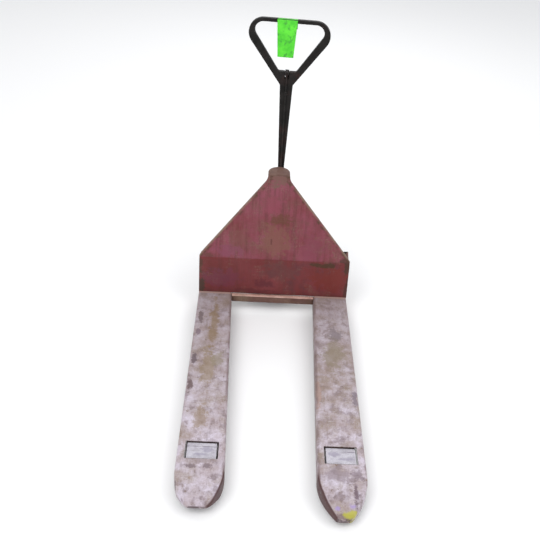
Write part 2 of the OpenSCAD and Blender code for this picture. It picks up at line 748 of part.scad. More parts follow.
// Arm that opens the valve when the chain pulls its tip up
module valve_arm() color(bare_steel) steered() translate([0, valve_y, valve_z]) difference() {
    slab_x(-valve_arm_w / 2, valve_arm_w / 2) union() {
        strip([0, 0], [valve_arm_l, 0], valve_arm_r);
        circle(r = valve_eye_r);
    }
    bar_x(valve_pin_d + 2 * fit, -valve_arm_w, valve_arm_w);
}

/* ---- Steer axle and wheels ---- */

module steer_axle() color(bare_steel) steered() translate([0, 0, wheel_r])
    difference() {
        bar_x(axle_d, -axle_end, axle_end);
        for (m = [0, 1]) mirror([m, 0, 0]) difference() {
            bar_x(axle_d + 2 * over, groove_x, groove_x + clip_t);
            bar_x(groove_d, groove_x - over, groove_x + clip_t + over);
        }
    }

module axle_clips() color(bare_steel) steered() translate([0, 0, wheel_r])
    for (m = [0, 1]) mirror([m, 0, 0]) difference() {
        bar_x(clip_d, groove_x, groove_x + clip_t);
        bar_x(groove_d, groove_x - over, groove_x + clip_t + over);
        translate([groove_x - over, -clip_slot / 2, -axle_d]) cube([clip_t + 2 * over, clip_slot, axle_d]);
    }

module at_wheel(side) {
    steered() translate([side * wheel_x, 0, wheel_r]) rotate([0, 90, 0]) children();
}

// Tyre with rounded shoulders, bonded on its hub
module tyre() rotate_extrude() difference() {
    translate([hub_r, -wheel_w / 2]) square([wheel_r - hub_r, wheel_w]);
    for (s = [-1, 1]) translate([wheel_r, s * wheel_w / 2]) rotate(45) square(tyre_chamfer, center = true);
}

module wheel_hub() rotate_extrude() polygon([
    [bearing_r, -boss_half], [bearing_r + boss_t, -boss_half], [bearing_r + boss_t + 5, -web_half],
    [hub_r - rim_t - 4, -web_half], [hub_r - rim_t, -rim_half], [hub_r, -rim_half],
    [hub_r, rim_half], [hub_r - rim_t, rim_half], [hub_r - rim_t - 4, web_half],
    [bearing_r + boss_t + 5, web_half], [bearing_r + boss_t, boss_half], [bearing_r, boss_half],
    [bearing_r, boss_half - bearing_w], [bearing_r - 4, boss_half - bearing_w],
    [bearing_r - 4, bearing_w - boss_half], [bearing_r, bearing_w - boss_half]]);

module wheel_bearings() for (s = [-1, 1])
    translate([0, 0, s * (boss_half - bearing_w / 2)]) difference() {
        cylinder(r = bearing_r, h = bearing_w, center = true);
        cylinder(d = axle_d + 2 * fit, h = bearing_w + over, center = true);
    }

module tyre_left() color(rubber) at_wheel(-1) tyre();
module tyre_right() color(rubber) at_wheel(1) tyre();
module wheel_hub_left() color(rust) at_wheel(-1) wheel_hub();
module wheel_hub_right() color(rust) at_wheel(1) wheel_hub();
module wheel_bearings_left() color(bare_steel) at_wheel(-1) wheel_bearings();
module wheel_bearings_right() color(bare_steel) at_wheel(1) wheel_bearings();

/* ---- Handle ---- */

// Rounded triangle of the loop: corner circles of radius r, arms running down to the shaft
function arc(c, r, a0, a1, n) = [for (i = [0 : n]) let (a = a0 + (a1 - a0) * i / n) c + r * [cos(a), sin(a)]];

// Angle at which the line from a point touches a circle, on the circle's outer side
function touch(c, r, p) = atan2(p[1] - c[1], p[0] - c[0]) + acos(r / norm(p - c));

module loop_outline(inset, top_inset, foot) {
    r = loop_corner_r - inset;
    c = [corner_x, corner_z - top_inset + inset];
    side = concat([foot], arc(c, r, touch(c, r, foot), 90, 12));
    polygon(concat(side, [for (i = [len(side) - 1 : -1 : 0]) [-side[i][0], side[i][1]]]));
}

module handle_front() difference() {
    union() {
        loop_outline(0, 0, [shaft_top_w / 2, arm_meet]);
        polygon([[-shaft_low_w / 2, shaft_low], [shaft_low_w / 2, shaft_low],
                 [shaft_low_w / 2, arm_meet - shaft_taper_l], [shaft_top_w / 2, arm_meet + 1],
                 [-shaft_top_w / 2, arm_meet + 1], [-shaft_low_w / 2, arm_meet - shaft_taper_l]]);
    }
    loop_outline(loop_arm, grip_h, [throat_half, throat_top]);
    translate([-lever_w / 2 - slot_play, slot_low])
        square([lever_w + 2 * slot_play, throat_top - slot_low + over]);
}

// Side view of the lugs that hold the pivot and the pumping roller
module lug_outline() {
    circle(r = lug_r);
    translate([pump_y, pump_z]) circle(r = pump_eye_r);
    polygon([[-handle_d / 2, 0], [lug_r, 0], [pump_y + pump_eye_r, pump_z], [pump_y, pump_z + pump_eye_r],
             [handle_d / 2, lug_top], [-handle_d / 2, lug_top]]);
}

module handle() color(dark_iron) steered() translate([0, pivot_back, 0]) difference() {
    union() {
        translate([0, handle_d / 2, 0]) rotate([90, 0, 0]) linear_extrude(handle_d) handle_front();
        for (s = [0, 1]) mirror([s, 0, 0]) translate([0, 0, pivot_z])
            slab_x(lug_in, lug_in + lug_t) lug_outline();
        translate([-lug_in - lug_t, -handle_d / 2, shaft_low])
            cube([2 * (lug_in + lug_t), handle_d, shoulder_h]);
    }
    translate([0, 0, pivot_z]) bar_x(pivot_d + 2 * fit, -bore_reach, bore_reach);
    translate([0, pump_y, pivot_z + pump_z]) bar_x(pin_d + 2 * fit, -bore_reach, bore_reach);
    translate([0, 0, lever_z]) bar_x(pin_d + 2 * fit, -lug_in - lug_t, loop_w / 2);
}

// Equal pins for the pumping roller and the release lever
module handle_pins() color(bare_steel) steered() translate([0, pivot_back, 0]) union() {
    translate([0, pump_y, pivot_z + pump_z]) bar_x(pin_d, -lug_in - lug_t, lug_in + lug_t);
    translate([0, 0, lever_z]) bar_x(pin_d, -lug_in - lug_t, lug_in + lug_t);
}

module handle_roller() color(bare_steel) steered()
    translate([0, pivot_back + pump_y, pivot_z + pump_z]) difference() {
        bar_x(2 * pump_roller_r, -lug_in + 1, lug_in - 1);
        bar_x(pin_d + 2 * fit, -lug_in, lug_in);
    }

// Lever in the throat: a round nose over the web, a finger tail behind, an arm to the rod
module release_lever() color(dark_iron) steered() translate([0, pivot_back, lever_z]) difference() {
    slab_x(-lever_w / 2, lever_w / 2) union() {
        circle(r = lever_r);
        strip([handle_d / 2 - 2, -2], [tail[0], tail[1] / 2], finger_r);
        strip([tail[0], tail[1] / 2], tail, finger_r);
        strip([0, 0], [rod_y, 0], finger_r);
    }
    bar_x(pin_d + 2 * fit, -lever_w, lever_w);
    translate([-rod_slot / 2, rod_y - 2 * finger_r, -2 * finger_r])
        cube([rod_slot, 2 * finger_r + rod_d / 2 + 1.5, 4 * finger_r]);
}

// Rod down the front of the shaft, with a cross pin that the lever's fork lifts
module release_rod() color(dark_iron) steered() translate([0, pivot_back + rod_y, 0]) difference() {
    union() {
        translate([0, 0, rod_low]) cylinder(d = rod_d, h = lever_z + lever_r - rod_low);
        translate([0, 0, lever_z + finger_r + cross_gap + cross_r]) bar_x(2 * cross_r, -rod_d, rod_d);
    }
    for (m = [0, 1]) mirror([m, 0, 0]) translate([rod_tongue / 2, -rod_d, rod_low - over])
        cube([rod_d, 2 * rod_d, rod_hole_z - rod_low + 4 * over]);
    translate([0, 0, rod_hole_z]) bar_x(2 * rod_hole_r, -rod_d, rod_d);
}

// Clips that hold the rod on the shaft
module rod_guides() color(dark_iron) steered() translate([0, pivot_back + rod_y, 0])
    for (z = [rod_low + guide_end, arm_meet - guide_end]) translate([0, 0, z]) difference() {
        union() {
            cylinder(r = rod_d / 2 + guide_wall, h = guide_h);
            translate([-rod_d / 2 - guide_wall, 0, 0])
                cube([rod_d + 2 * guide_wall, -rod_y - handle_d / 2, guide_h]);
        }
        translate([0, 0, -over]) cylinder(r = rod_d / 2 + fit, h = guide_h + 2 * over);
        translate([-rod_d, -rod_y - handle_d / 2, -over]) cube([2 * rod_d, rod_d, guide_h + 2 * over]);
    }

// Three chain links that hang from the rod's end
module release_chain() color(bare_steel) steered() translate([0, pivot_back + rod_y, 0])
    for (i = [0 : 2]) translate([0, 0, rod_hole_z - link_sag - link_r - link_pitch * i])
        rotate([0, 0, 90 * i]) rotate([90, 0, 0])
            rotate_extrude() translate([link_r, 0]) circle(d = link_wire, $fn = 24);

// Card tag folded over the grip bar, wider at the top
module price_tag() color("#5ff541") steered() translate([0, pivot_back, 0]) intersection() {
    slab_x(tag_x - tag_w, tag_x + tag_w) difference() {
        translate([-handle_d / 2 - tag_t - tag_slack, handle_h - tag_l])
            square([handle_d + 2 * (tag_t + tag_slack), tag_l + tag_t + tag_slack]);
        translate([-handle_d / 2 - tag_slack, handle_h - tag_l - over])
            square([handle_d + 2 * tag_slack, tag_l + over + tag_slack]);
        translate([0, handle_h - tag_l - over]) square([handle_d, tag_l - tag_back_l]);
    }
    translate([0, handle_d, 0]) rotate([90, 0, 0]) linear_extrude(2 * handle_d)
        polygon([[tag_x - tag_w / 2, handle_h + 2 * over],
                 [tag_x - tag_w / 2 + tag_draw_left, handle_h - tag_l - over],
                 [tag_x + tag_w / 2 - tag_draw_right, handle_h - tag_l - over],
                 [tag_x + tag_w / 2, handle_h + 2 * over]]);
}

/* ---- Lifting collar and rocker ---- */

// Ring that stays square to the frame while the neck turns in it
module lifting_collar() color(pump_grey) placed() translate([0, ram_y, collar_z]) union() {
    difference() {
        translate([0, 0, -collar_h / 2]) cylinder(r = collar_r, h = collar_h);
        translate([0, 0, -collar_h]) cylinder(r = neck_r + collar_play, h = 2 * collar_h);
    }
    for (m = [0, 1]) mirror([m, 0, 0]) bar_x(trunnion_d, collar_r - 3, arm_x + arm_t + trunnion_out);
}

module rocker_tube() color(rust) placed() translate([0, rocker_y, rocker_z]) union() {
    bar_x(2 * rocker_r, -half_w + frame_plate + bush_wall + gap, half_w - frame_plate - bush_wall - gap);
    bar_x(journal_d, -half_w + 1, half_w - 1);
}

// Cranked arms that clear the steer wheels and reach the collar's trunnions
module rocker_rear_arms() color(rust) placed() translate([0, rocker_y, rocker_z])
    for (m = [0, 1]) mirror([m, 0, 0]) difference() {
        slab_x(arm_x, arm_x + arm_t) difference() {
            union() {
                circle(r = rocker_hub_r);
                strip([0, 0], rear_bend, rear_arm_r);
                strip(rear_bend, slot_p(slot_run), rear_arm_r);
                strip(slot_p(-slot_wall), slot_p(slot_run + slot_wall), slot_w / 2 + slot_wall);
            }
            strip(slot_p(-over), slot_p(slot_run), slot_w / 2);
        }
        bar_x(2 * rocker_r, 0, half_w);
    }

// Places along the slot, measured inward from the trunnion towards the tube
function slot_p(s) = [rear_len, rear_up] - s * [cos(rocker_a0), sin(rocker_a0)];

// Lower arms, two in each fork, with the push rod's pin between them
module push_arm() {
    foot = rocker_r - 2;
    eye = push_eye_r - 0.4;
    circle(r = rocker_hub_r);
    translate(push_dir) circle(r = push_eye_r);
    polygon([[-foot, 0], [foot, 0], push_dir + [eye, 0], push_dir - [eye, 0]]);
}

module rocker_push_arms() color(rust) placed() translate([0, rocker_y, rocker_z])
    for (m = [0, 1]) mirror([m, 0, 0]) for (s = [-1, 1]) difference() {
        slab_x(fork_cx + s * push_arm_x - arm_t / 2, fork_cx + s * push_arm_x + arm_t / 2) push_arm();
        bar_x(2 * rocker_r, 0, half_w);
        translate([0, push_dir[0], push_dir[1]]) bar_x(rod_pin_d, 0, half_w);
    }

module rocker_rod_pins() color(bare_steel) placed() translate([0, push_pin_y, push_pin_z])
    for (m = [0, 1]) mirror([m, 0, 0])
        bar_x(rod_pin_d, fork_cx - push_arm_x - rod_pin_out, fork_cx + push_arm_x + rod_pin_out);

/* ---- Push rods, load yokes and rollers ---- */

// Push rod: an eye at the rocker, a tube along the fork, and a fork round the load roller
module push_rod() {
    run = norm([push_pin_y - crank_y, push_pin_z - crank_z]);
    split = (push_pin_y - clevis_y) / cos(rod_tilt);
    translate([fork_cx, push_pin_y, push_pin_z]) rotate([rod_tilt, 0, 0]) difference() {
        union() {
            slab_x(-rod_eye_w / 2, rod_eye_w / 2) strip([0, 0], [-rod_eye_l, 0], rod_eye_r + 0.5);
            translate([0, -split, 0]) rotate([-90, 0, 0])
                cylinder(r = rod_tube_r, h = split - rod_eye_l + 10);
            translate([-rod_bar_in - rod_bar_t, -split - rod_bar_back, -rod_eye_r])
                cube([2 * (rod_bar_in + rod_bar_t), clevis_t, 2 * rod_eye_r]);
            for (m = [0, 1]) mirror([m, 0, 0]) slab_x(rod_bar_in, rod_bar_in + rod_bar_t)
                strip([-split, 0], [-run, 0], rod_eye_r);
            for (m = [0, 1]) mirror([m, 0, 0]) slab_x(rod_bar_in, rod_bar_in + rod_bar_t)
                translate([-run, 0]) circle(r = yoke_pin_d / 2 + rod_play + yoke_pin_wall);
        }
        bar_x(rod_pin_d + 2 * fit, -rod_eye_w, rod_eye_w);
        translate([0, -run, 0]) bar_x(yoke_pin_d + 2 * rod_play, -window_w, window_w);
    }
}

module push_rod_right() color(rust) placed() push_rod();
module push_rod_left() color(rust) placed() mirror([1, 0, 0]) push_rod();

// Yoke: two cheeks, a tube round the pivot pin and a cover bent over the roller
module yoke_cheek() {
    axle = [window_y - yoke_y, roller_r - yoke_z];
    crank = [crank_y - yoke_y, crank_z - yoke_z];
    under = fork_top - fork_plate - yoke_z - 1.5;
    circle(r = yoke_eye_r);
    crank_eye = yoke_pin_d / 2 + yoke_pin_wall;
    translate(crank) circle(r = crank_eye);
    translate(axle) circle(r = yoke_axle_r);
    polygon([[0, yoke_eye_r], [window_y - window_l / 2 - yoke_y, under], axle + [0, cover_z - roller_r + 1],
             axle + [cover_crease, cover_z - roller_r + 1], axle + [yoke_axle_r, 0], axle - [0, yoke_axle_r],
             crank - [0, crank_eye], crank - [crank_eye, 0], [-yoke_eye_r, 0]]);
}

// Side view of the cover, from the roller's axle: level over the roller, sloping down behind it
module yoke_cover() {
    low = cover_z - roller_r;
    polygon([[cover_front, low], [cover_crease, low], [cover_back, low - cover_fall],
             [cover_back, low - cover_fall + cover_t], [cover_crease, low + cover_t],
             [cover_front, low + cover_t]]);
}

module load_yoke() translate([fork_cx, yoke_y, yoke_z]) {
    axle = [0, window_y - yoke_y, roller_r - yoke_z];
    difference() {
        union() {
            for (m = [0, 1]) mirror([m, 0, 0]) slab_x(yoke_in, yoke_out) yoke_cheek();
            bar_x(2 * yoke_eye_r, -yoke_in - over, yoke_in + over);
            translate(axle) slab_x(-yoke_out, yoke_out) yoke_cover();
        }
        bar_x(yoke_pivot_d + 2 * fit, -window_w, window_w);
        translate(axle) bar_x(yoke_pin_d, -window_w, window_w);
        translate([0, crank_y - yoke_y, crank_z - yoke_z]) bar_x(yoke_pin_d, -window_w, window_w);
    }
}

module load_yoke_right() color(bare_steel) placed() load_yoke();
module load_yoke_left() color(bare_steel) placed() mirror([1, 0, 0]) load_yoke();

// The roller's axle, and the longer pin that the push rod bears on
module yoke_pins() {
    axle_reach = yoke_out + 1;
    pin_reach = rod_bar_in + rod_bar_t - 1;
    translate([fork_cx, window_y, roller_r]) bar_x(yoke_pin_d, -axle_reach, axle_reach);
    translate([fork_cx, crank_y, crank_z]) bar_x(yoke_pin_d, -pin_reach, pin_reach);
}

module yoke_pins_right() color(bare_steel) placed() yoke_pins();
module yoke_pins_left() color(bare_steel) placed() mirror([1, 0, 0]) yoke_pins();

module load_roller() translate([fork_cx, window_y, roller_r]) rotate([0, 90, 0]) rotate_extrude()
    polygon([[yoke_pin_d / 2 + fit, -roller_w / 2], [roller_r - roller_chamfer, -roller_w / 2],
             [roller_r, -roller_w / 2 + roller_chamfer], [roller_r, roller_w / 2 - roller_chamfer],
             [roller_r - roller_chamfer, roller_w / 2], [yoke_pin_d / 2 + fit, roller_w / 2]]);

module load_roller_right() color(bare_steel) placed() load_roller();
module load_roller_left() color(bare_steel) placed() mirror([1, 0, 0]) load_roller();

fork_left();
fork_right();
front_plate();
a_frame_plate();
a_frame_flanges();
apex_head();
head_gussets();
box_channel();
side_plate_left();
side_plate_right();
lower_tie_bar();
rocker_bushes();
yoke_pivot_pins();
ram();
piston_seal();
pump_base();
cylinder_tube();
gland_nut();
oil_tank();
tank_cover();
filler_plug();
handle_bracket();
plunger_barrel();
collar_nut();
steer_axle();
axle_clips();
handle_pivot_pin();
valve_arm_pin();
release_valve();
tyre_left();
tyre_right();
wheel_hub_left();
wheel_hub_right();
wheel_bearings_left();
wheel_bearings_right();
plunger();
plunger_spring();
handle();
handle_pins();
rod_guides();
price_tag();
handle_roller();
release_lever();
release_rod();
release_chain();
valve_arm();
lifting_collar();
rocker_tube();
rocker_rear_arms();
rocker_push_arms();
rocker_rod_pins();
push_rod_left();
push_rod_right();
load_yoke_left();
load_yoke_right();
yoke_pins_left();
yoke_pins_right();
load_roller_left();
load_roller_right();
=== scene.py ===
# A hand pallet jack: the looks of its forks, folded frame, forged handle and running gear.
# Metres. X runs across the forks, their tips point along -Y, the handle stands at +Y, Z is up.
# Every section is one piece or one group of like pieces, in the order of assembly.
import json
import math

import bmesh
import bpy
from mathutils import Matrix, Vector


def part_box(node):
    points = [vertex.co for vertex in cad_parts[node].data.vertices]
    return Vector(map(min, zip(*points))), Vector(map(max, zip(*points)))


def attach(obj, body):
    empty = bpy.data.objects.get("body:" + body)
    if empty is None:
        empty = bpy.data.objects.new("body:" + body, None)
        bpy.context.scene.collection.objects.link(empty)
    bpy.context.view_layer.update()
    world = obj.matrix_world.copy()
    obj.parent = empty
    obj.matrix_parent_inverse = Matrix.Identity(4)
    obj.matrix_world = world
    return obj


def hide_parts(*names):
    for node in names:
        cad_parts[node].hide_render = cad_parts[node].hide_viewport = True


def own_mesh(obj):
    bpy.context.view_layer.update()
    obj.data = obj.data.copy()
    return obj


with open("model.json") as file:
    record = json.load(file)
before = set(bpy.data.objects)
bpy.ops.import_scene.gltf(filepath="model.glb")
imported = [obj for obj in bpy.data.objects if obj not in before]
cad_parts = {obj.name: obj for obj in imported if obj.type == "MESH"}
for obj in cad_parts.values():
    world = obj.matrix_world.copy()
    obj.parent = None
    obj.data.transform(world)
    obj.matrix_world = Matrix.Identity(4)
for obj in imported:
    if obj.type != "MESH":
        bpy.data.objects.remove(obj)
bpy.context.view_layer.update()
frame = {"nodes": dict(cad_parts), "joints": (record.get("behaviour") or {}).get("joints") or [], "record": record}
bpy.ops.object.select_all(action="DESELECT")

# ---- Camera ----
# Stands in front of the fork tips, above head height, and looks down along the forks.
camera_turn = math.radians(1.603)
camera_fall = math.radians(34.746)
camera_roll = math.radians(3.558)
bpy.ops.object.camera_add(location=(-0.1016, -2.499, 2.2591))
camera = bpy.context.object
camera.name = "camera"
camera.data.sensor_width = 36
camera.data.lens = 52.39
camera.rotation_mode = "QUATERNION"
camera.rotation_quaternion = (
    Matrix.Rotation(-camera_turn, 3, "Z")
    @ Matrix.Rotation(math.pi / 2 - camera_fall, 3, "X")
    @ Matrix.Rotation(camera_roll, 3, "Z")
).to_quaternion()
bpy.context.scene.camera = camera

# ---- Floor and light ----
# A plain pale floor, three big soft lights and an even pale sky, so that paint colours read true.
bpy.ops.mesh.primitive_plane_add(size=40, location=(0, 0, -0.0005))
floor = bpy.context.object
floor.name = "floor"
floor_paint = bpy.data.materials.new("floor_paint")
floor_paint.use_nodes = True
floor_shader = floor_paint.node_tree.nodes["Principled BSDF"]
floor_shader.inputs["Base Color"].default_value = (0.95, 0.95, 0.95, 1)
floor_shader.inputs["Roughness"].default_value = 0.9
floor.data.materials.append(floor_paint)

for light_name, light_place, light_size, light_power in (
    ("key_light", (-2.2, -2.6, 4.2), 3.0, 95),
    ("fill_light", (2.8, -1.2, 3.6), 3.0, 45),
    ("back_light", (0.4, 4.0, 3.4), 2.5, 40),
):
    bpy.ops.object.light_add(type="AREA", location=light_place)
    light = bpy.context.object
    light.name = light_name
    light.data.size = light_size
    light.data.energy = light_power
    light.rotation_mode = "QUATERNION"
    aim = Vector((0, 0, 0.3)) - Vector(light_place)
    light.rotation_quaternion = aim.to_track_quat("-Z", "Y")

sky = bpy.data.worlds.new("sky")
sky.use_nodes = True
sky.node_tree.nodes["Background"].inputs["Color"].default_value = (0.97, 0.98, 1.0, 1)
sky.node_tree.nodes["Background"].inputs["Strength"].default_value = 0.78
bpy.context.scene.world = sky
bpy.context.scene.view_settings.view_transform = "Standard"

# ---- Forks ----
# Each fork is 6 mm plate pressed into a channel, open below, with a tapered nose and a window for
# the load roller. The grey-lavender paint is worn through along the top and stained by rust.
fork_low, fork_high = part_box("fork_right")
heel_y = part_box("front_plate")[0].y
fork_plate = 0.006
fork_front_w = fork_high.x - fork_low.x
fork_heel_w = 0.153
fork_middle = (fork_high.x + fork_low.x) / 2
nose_length = 0.156
nose_tip_w = 0.050
nose_slope = 0.086
nose_tip_z = 0.047
nose_start = fork_low.y + nose_length
slope_start = fork_low.y + nose_slope
fork_bend = 0.009
window_w, window_l = 0.122, 0.084
window_y = fork_low.y + 0.253
window_round = 0.003
sheet_round = 0.0012
sheet_angle = math.radians(50)


def only(piece):
    """Makes a piece the only selected one, and the active one."""
    bpy.ops.object.select_all(action="DESELECT")
    piece.select_set(True)
    bpy.context.view_layer.objects.active = piece


def pick(piece, edges=None, faces=None):
    """Selects a piece's edges or faces for which a test holds. The piece is in edit mode."""
    mesh = bmesh.from_edit_mesh(piece.data)
    for part in list(mesh.verts) + list(mesh.edges) + list(mesh.faces):
        part.select = False
    bpy.context.tool_settings.mesh_select_mode = (False, edges is not None, faces is not None)
    for part in mesh.edges if edges else mesh.faces:
        if (edges or faces)(part):
            part.select = True
    mesh.select_flush_mode()
    bmesh.update_edit_mesh(piece.data)


def modify(piece, kind, **settings):
    """Adds a modifier with its settings and applies it."""
    only(piece)
    modifier = piece.modifiers.new(kind.lower(), kind)
    for setting, value in settings.items():
        setattr(modifier, setting, value)
    bpy.ops.object.modifier_apply(modifier=modifier.name)


def smooth(piece, angle=35):
    """Shades a piece smooth except over its sharp edges."""
    only(piece)
    bpy.ops.object.shade_smooth_by_angle(angle=math.radians(angle))


def fork_edges(y):
    """Inner and outer edge of the right fork at a place along it."""
    nose = max(0.0, (nose_start - y) / nose_length)
    pull = (fork_front_w - nose_tip_w) / 2 * min(1.0, nose) ** 2
    widen = (fork_front_w - fork_heel_w) * min(1.0, (heel_y - y) / (heel_y - nose_start))
    return fork_high.x - fork_heel_w - max(0.0, widen) + pull, fork_high.x - pull


bpy.ops.mesh.primitive_cube_add(
    size=1,
    location=(fork_low + fork_high) / 2,
    scale=fork_high - fork_low,
)
fork_right = bpy.context.object
fork_right.name = "fork_plate_right"
bpy.ops.object.transform_apply(location=True, rotation=False, scale=True)
bpy.ops.object.mode_set(mode="EDIT")
nose_cuts = 12
cuts = [nose_start - nose_length * cut / nose_cuts for cut in range(nose_cuts)]
for cut in cuts + [heel_y, slope_start]:
    bpy.ops.mesh.select_all(action="SELECT")
    bpy.ops.mesh.bisect(plane_co=(0, cut, 0), plane_no=(0, 1, 0))
fork_mesh = bmesh.from_edit_mesh(fork_right.data)
for vert in fork_mesh.verts:
    inner, outer = fork_edges(vert.co.y)
    vert.co.x = outer if vert.co.x > fork_middle else inner
    if vert.co.z > fork_plate + fork_low.z and vert.co.y < slope_start:
        vert.co.z -= (fork_high.z - nose_tip_z) * (slope_start - vert.co.y) / nose_slope
bmesh.update_edit_mesh(fork_right.data)
pick(fork_right, faces=lambda face: face.normal.z < -0.9 or face.normal.y > 0.9)
bpy.ops.mesh.delete(type="FACE")


def upper_bend(edge):
    """True on the edges between a fork's top and its walls."""
    return len(edge.link_faces) == 2 and edge.calc_face_angle() > math.radians(48)


pick(fork_right, edges=upper_bend)
bpy.ops.mesh.bevel(offset=fork_bend, segments=5, affect="EDGES")
bpy.ops.object.mode_set(mode="OBJECT")
modify(fork_right, "SOLIDIFY", thickness=fork_plate, offset=-1, use_even_offset=True)

bpy.ops.mesh.primitive_cube_add(
    size=1,
    location=(fork_middle, window_y, fork_high.z),
    scale=(window_w, window_l, 4 * fork_plate),
)
window_cutter = bpy.context.object
bpy.ops.object.transform_apply(location=True, rotation=False, scale=True)
bpy.ops.object.mode_set(mode="EDIT")
pick(window_cutter, edges=lambda edge: abs(edge.verts[0].co.z - edge.verts[1].co.z) > fork_plate)
bpy.ops.mesh.bevel(offset=window_round, segments=3, affect="EDGES")
bpy.ops.object.mode_set(mode="OBJECT")
modify(fork_right, "BOOLEAN", operation="DIFFERENCE", object=window_cutter, solver="EXACT")
bpy.data.objects.remove(window_cutter, do_unlink=True)
modify(
    fork_right, "BEVEL", width=sheet_round, segments=2, limit_method="ANGLE", angle_limit=sheet_angle
)

fork_left = fork_right.copy()
fork_left.data = fork_right.data.copy()
fork_left.name = "fork_plate_left"
bpy.context.collection.objects.link(fork_left)
only(fork_left)
bpy.ops.object.mode_set(mode="EDIT")
bpy.ops.mesh.select_all(action="SELECT")
bpy.ops.transform.resize(value=(-1, 1, 1), center_override=(0, 0, 0))
bpy.ops.mesh.normals_make_consistent(inside=False)
bpy.ops.object.mode_set(mode="OBJECT")

# The left nose is beaten shorter and blunter than the right one, ahead of the yoke's pin
blunt_start = slope_start - 0.004
blunt_share = 0.68
blunt_widen = 0.3
blunt_lift = 0.014
blunt_lift_reach = 0.03
for vert in fork_left.data.vertices:
    run = (blunt_start - vert.co.y) / (blunt_start - fork_low.y)
    if run > 0:
        vert.co.y = blunt_start - (blunt_start - vert.co.y) * blunt_share
        vert.co.x = -fork_middle + (vert.co.x + fork_middle) * (1 + blunt_widen * run * run)
        low_share = max(0.0, 1 - (vert.co.z - fork_low.z) / blunt_lift_reach)
        vert.co.z += blunt_lift * run * low_share


def group_of(name, inputs, outputs):
    """A shader node group with its sockets, and its two end nodes."""
    tree = bpy.data.node_groups.new(name, "ShaderNodeTree")
    for label, kind, value in inputs:
        socket = tree.interface.new_socket(label, in_out="INPUT", socket_type="NodeSocket" + kind)
        socket.default_value = value
    for label, kind in outputs:
        tree.interface.new_socket(label, in_out="OUTPUT", socket_type="NodeSocket" + kind)
    return tree, tree.nodes.new("NodeGroupInput").outputs, tree.nodes.new("NodeGroupOutput").inputs


def put(tree, value, socket):
    """Links a socket to another one, or sets its value."""
    if isinstance(value, bpy.types.NodeSocket):
        tree.links.new(value, socket)
    elif isinstance(value, (tuple, list)) and len(value) == 3 and socket.type == "RGBA":
        socket.default_value = (*value, 1)
    else:
        socket.default_value = value


def maths(tree, operation, first, second=0.0):
    """A sum of two values. Additions and subtractions are held between 0 and 1."""
    sum_node = tree.nodes.new("ShaderNodeMath")
    sum_node.operation = operation
    sum_node.use_clamp = operation in ("ADD", "SUBTRACT")
    put(tree, first, sum_node.inputs[0])
    put(tree, second, sum_node.inputs[1])
    return sum_node.outputs[0]


def off_middle(tree, value):
    """How far a cloud is from its middle value, with its sign."""
    off = tree.nodes.new("ShaderNodeMath")
    off.operation = "SUBTRACT"
    put(tree, value, off.inputs[0])
    off.inputs[1].default_value = 0.5
    return off.outputs[0]


def ramp(tree, value, low, high):
    """0 up to the low value, 1 from the high one on."""
    spread = tree.nodes.new("ShaderNodeMapRange")
    put(tree, value, spread.inputs["Value"])
    put(tree, low, spread.inputs["From Min"])
    put(tree, high, spread.inputs["From Max"])
    return spread.outputs["Result"]


def mixed(tree, share, first, second):
    """The second colour over the first one."""
    mix = tree.nodes.new("ShaderNodeMix")
    mix.data_type = "RGBA"
    put(tree, share, mix.inputs[0])
    put(tree, first, mix.inputs[6])
    put(tree, second, mix.inputs[7])
    return mix.outputs[2]


def stretched(tree, vector, factors):
    """Coordinates multiplied along each axis, which draws a pattern out where the factor is small."""
    scale = tree.nodes.new("ShaderNodeVectorMath")
    scale.operation = "MULTIPLY"
    put(tree, vector, scale.inputs[0])
    put(tree, factors, scale.inputs[1])
    return scale.outputs[0]


def cloud(tree, vector, scale, detail=4.0, rough=0.6):
    """Noise between 0 and 1, mostly near a half."""
    noise = tree.nodes.new("ShaderNodeTexNoise")
    put(tree, vector, noise.inputs["Vector"])
    put(tree, scale, noise.inputs["Scale"])
    put(tree, detail, noise.inputs["Detail"])
    put(tree, rough, noise.inputs["Roughness"])
    return noise.outputs["Fac"]


def spot(tree, place, centre, size, ragged=1.1):
    """A patch with a ragged edge: 1 well inside an ellipsoid of this half size, 0 outside."""
    offset = tree.nodes.new("ShaderNodeVectorMath")
    offset.operation = "SUBTRACT"
    put(tree, place, offset.inputs[0])
    put(tree, centre, offset.inputs[1])
    length = tree.nodes.new("ShaderNodeVectorMath")
    length.operation = "LENGTH"
    put(tree, stretched(tree, offset.outputs[0], tuple(1 / half for half in size)), length.inputs[0])
    wobble = tree.nodes.new("ShaderNodeMath")
    wobble.operation = "MULTIPLY_ADD"
    put(tree, ramp(tree, cloud(tree, place, 42.0, 6.0, 0.72), 0.34, 0.66), wobble.inputs[0])
    wobble.inputs[1].default_value = ragged
    put(tree, length.outputs["Value"], wobble.inputs[2])
    return ramp(tree, wobble.outputs[0], 1.0 + 0.5 * ragged, 0.6 + 0.5 * ragged)


def parts_of(tree, vector):
    """X, Y and Z of a vector."""
    split = tree.nodes.new("ShaderNodeSeparateXYZ")
    put(tree, vector, split.inputs[0])
    return split.outputs


def marked(material, mask, colour, strength=1.0):
    """Lays a colour over a material where a mask is 1."""
    tree = material.node_tree
    socket = tree.nodes["Principled BSDF"].inputs["Base Color"]
    share = maths(tree, "MULTIPLY", mask, strength)
    put(tree, mixed(tree, share, socket.links[0].from_socket, colour), socket)


def blotted(material, patches):
    """Lays ragged patches over a material. Each has a middle, half sizes, a colour and a strength."""
    tree = material.node_tree
    place = tree.nodes.new("ShaderNodeTexCoord").outputs["Object"]
    for centre, size, colour, strength in patches:
        marked(material, spot(tree, place, centre, size), colour, strength)


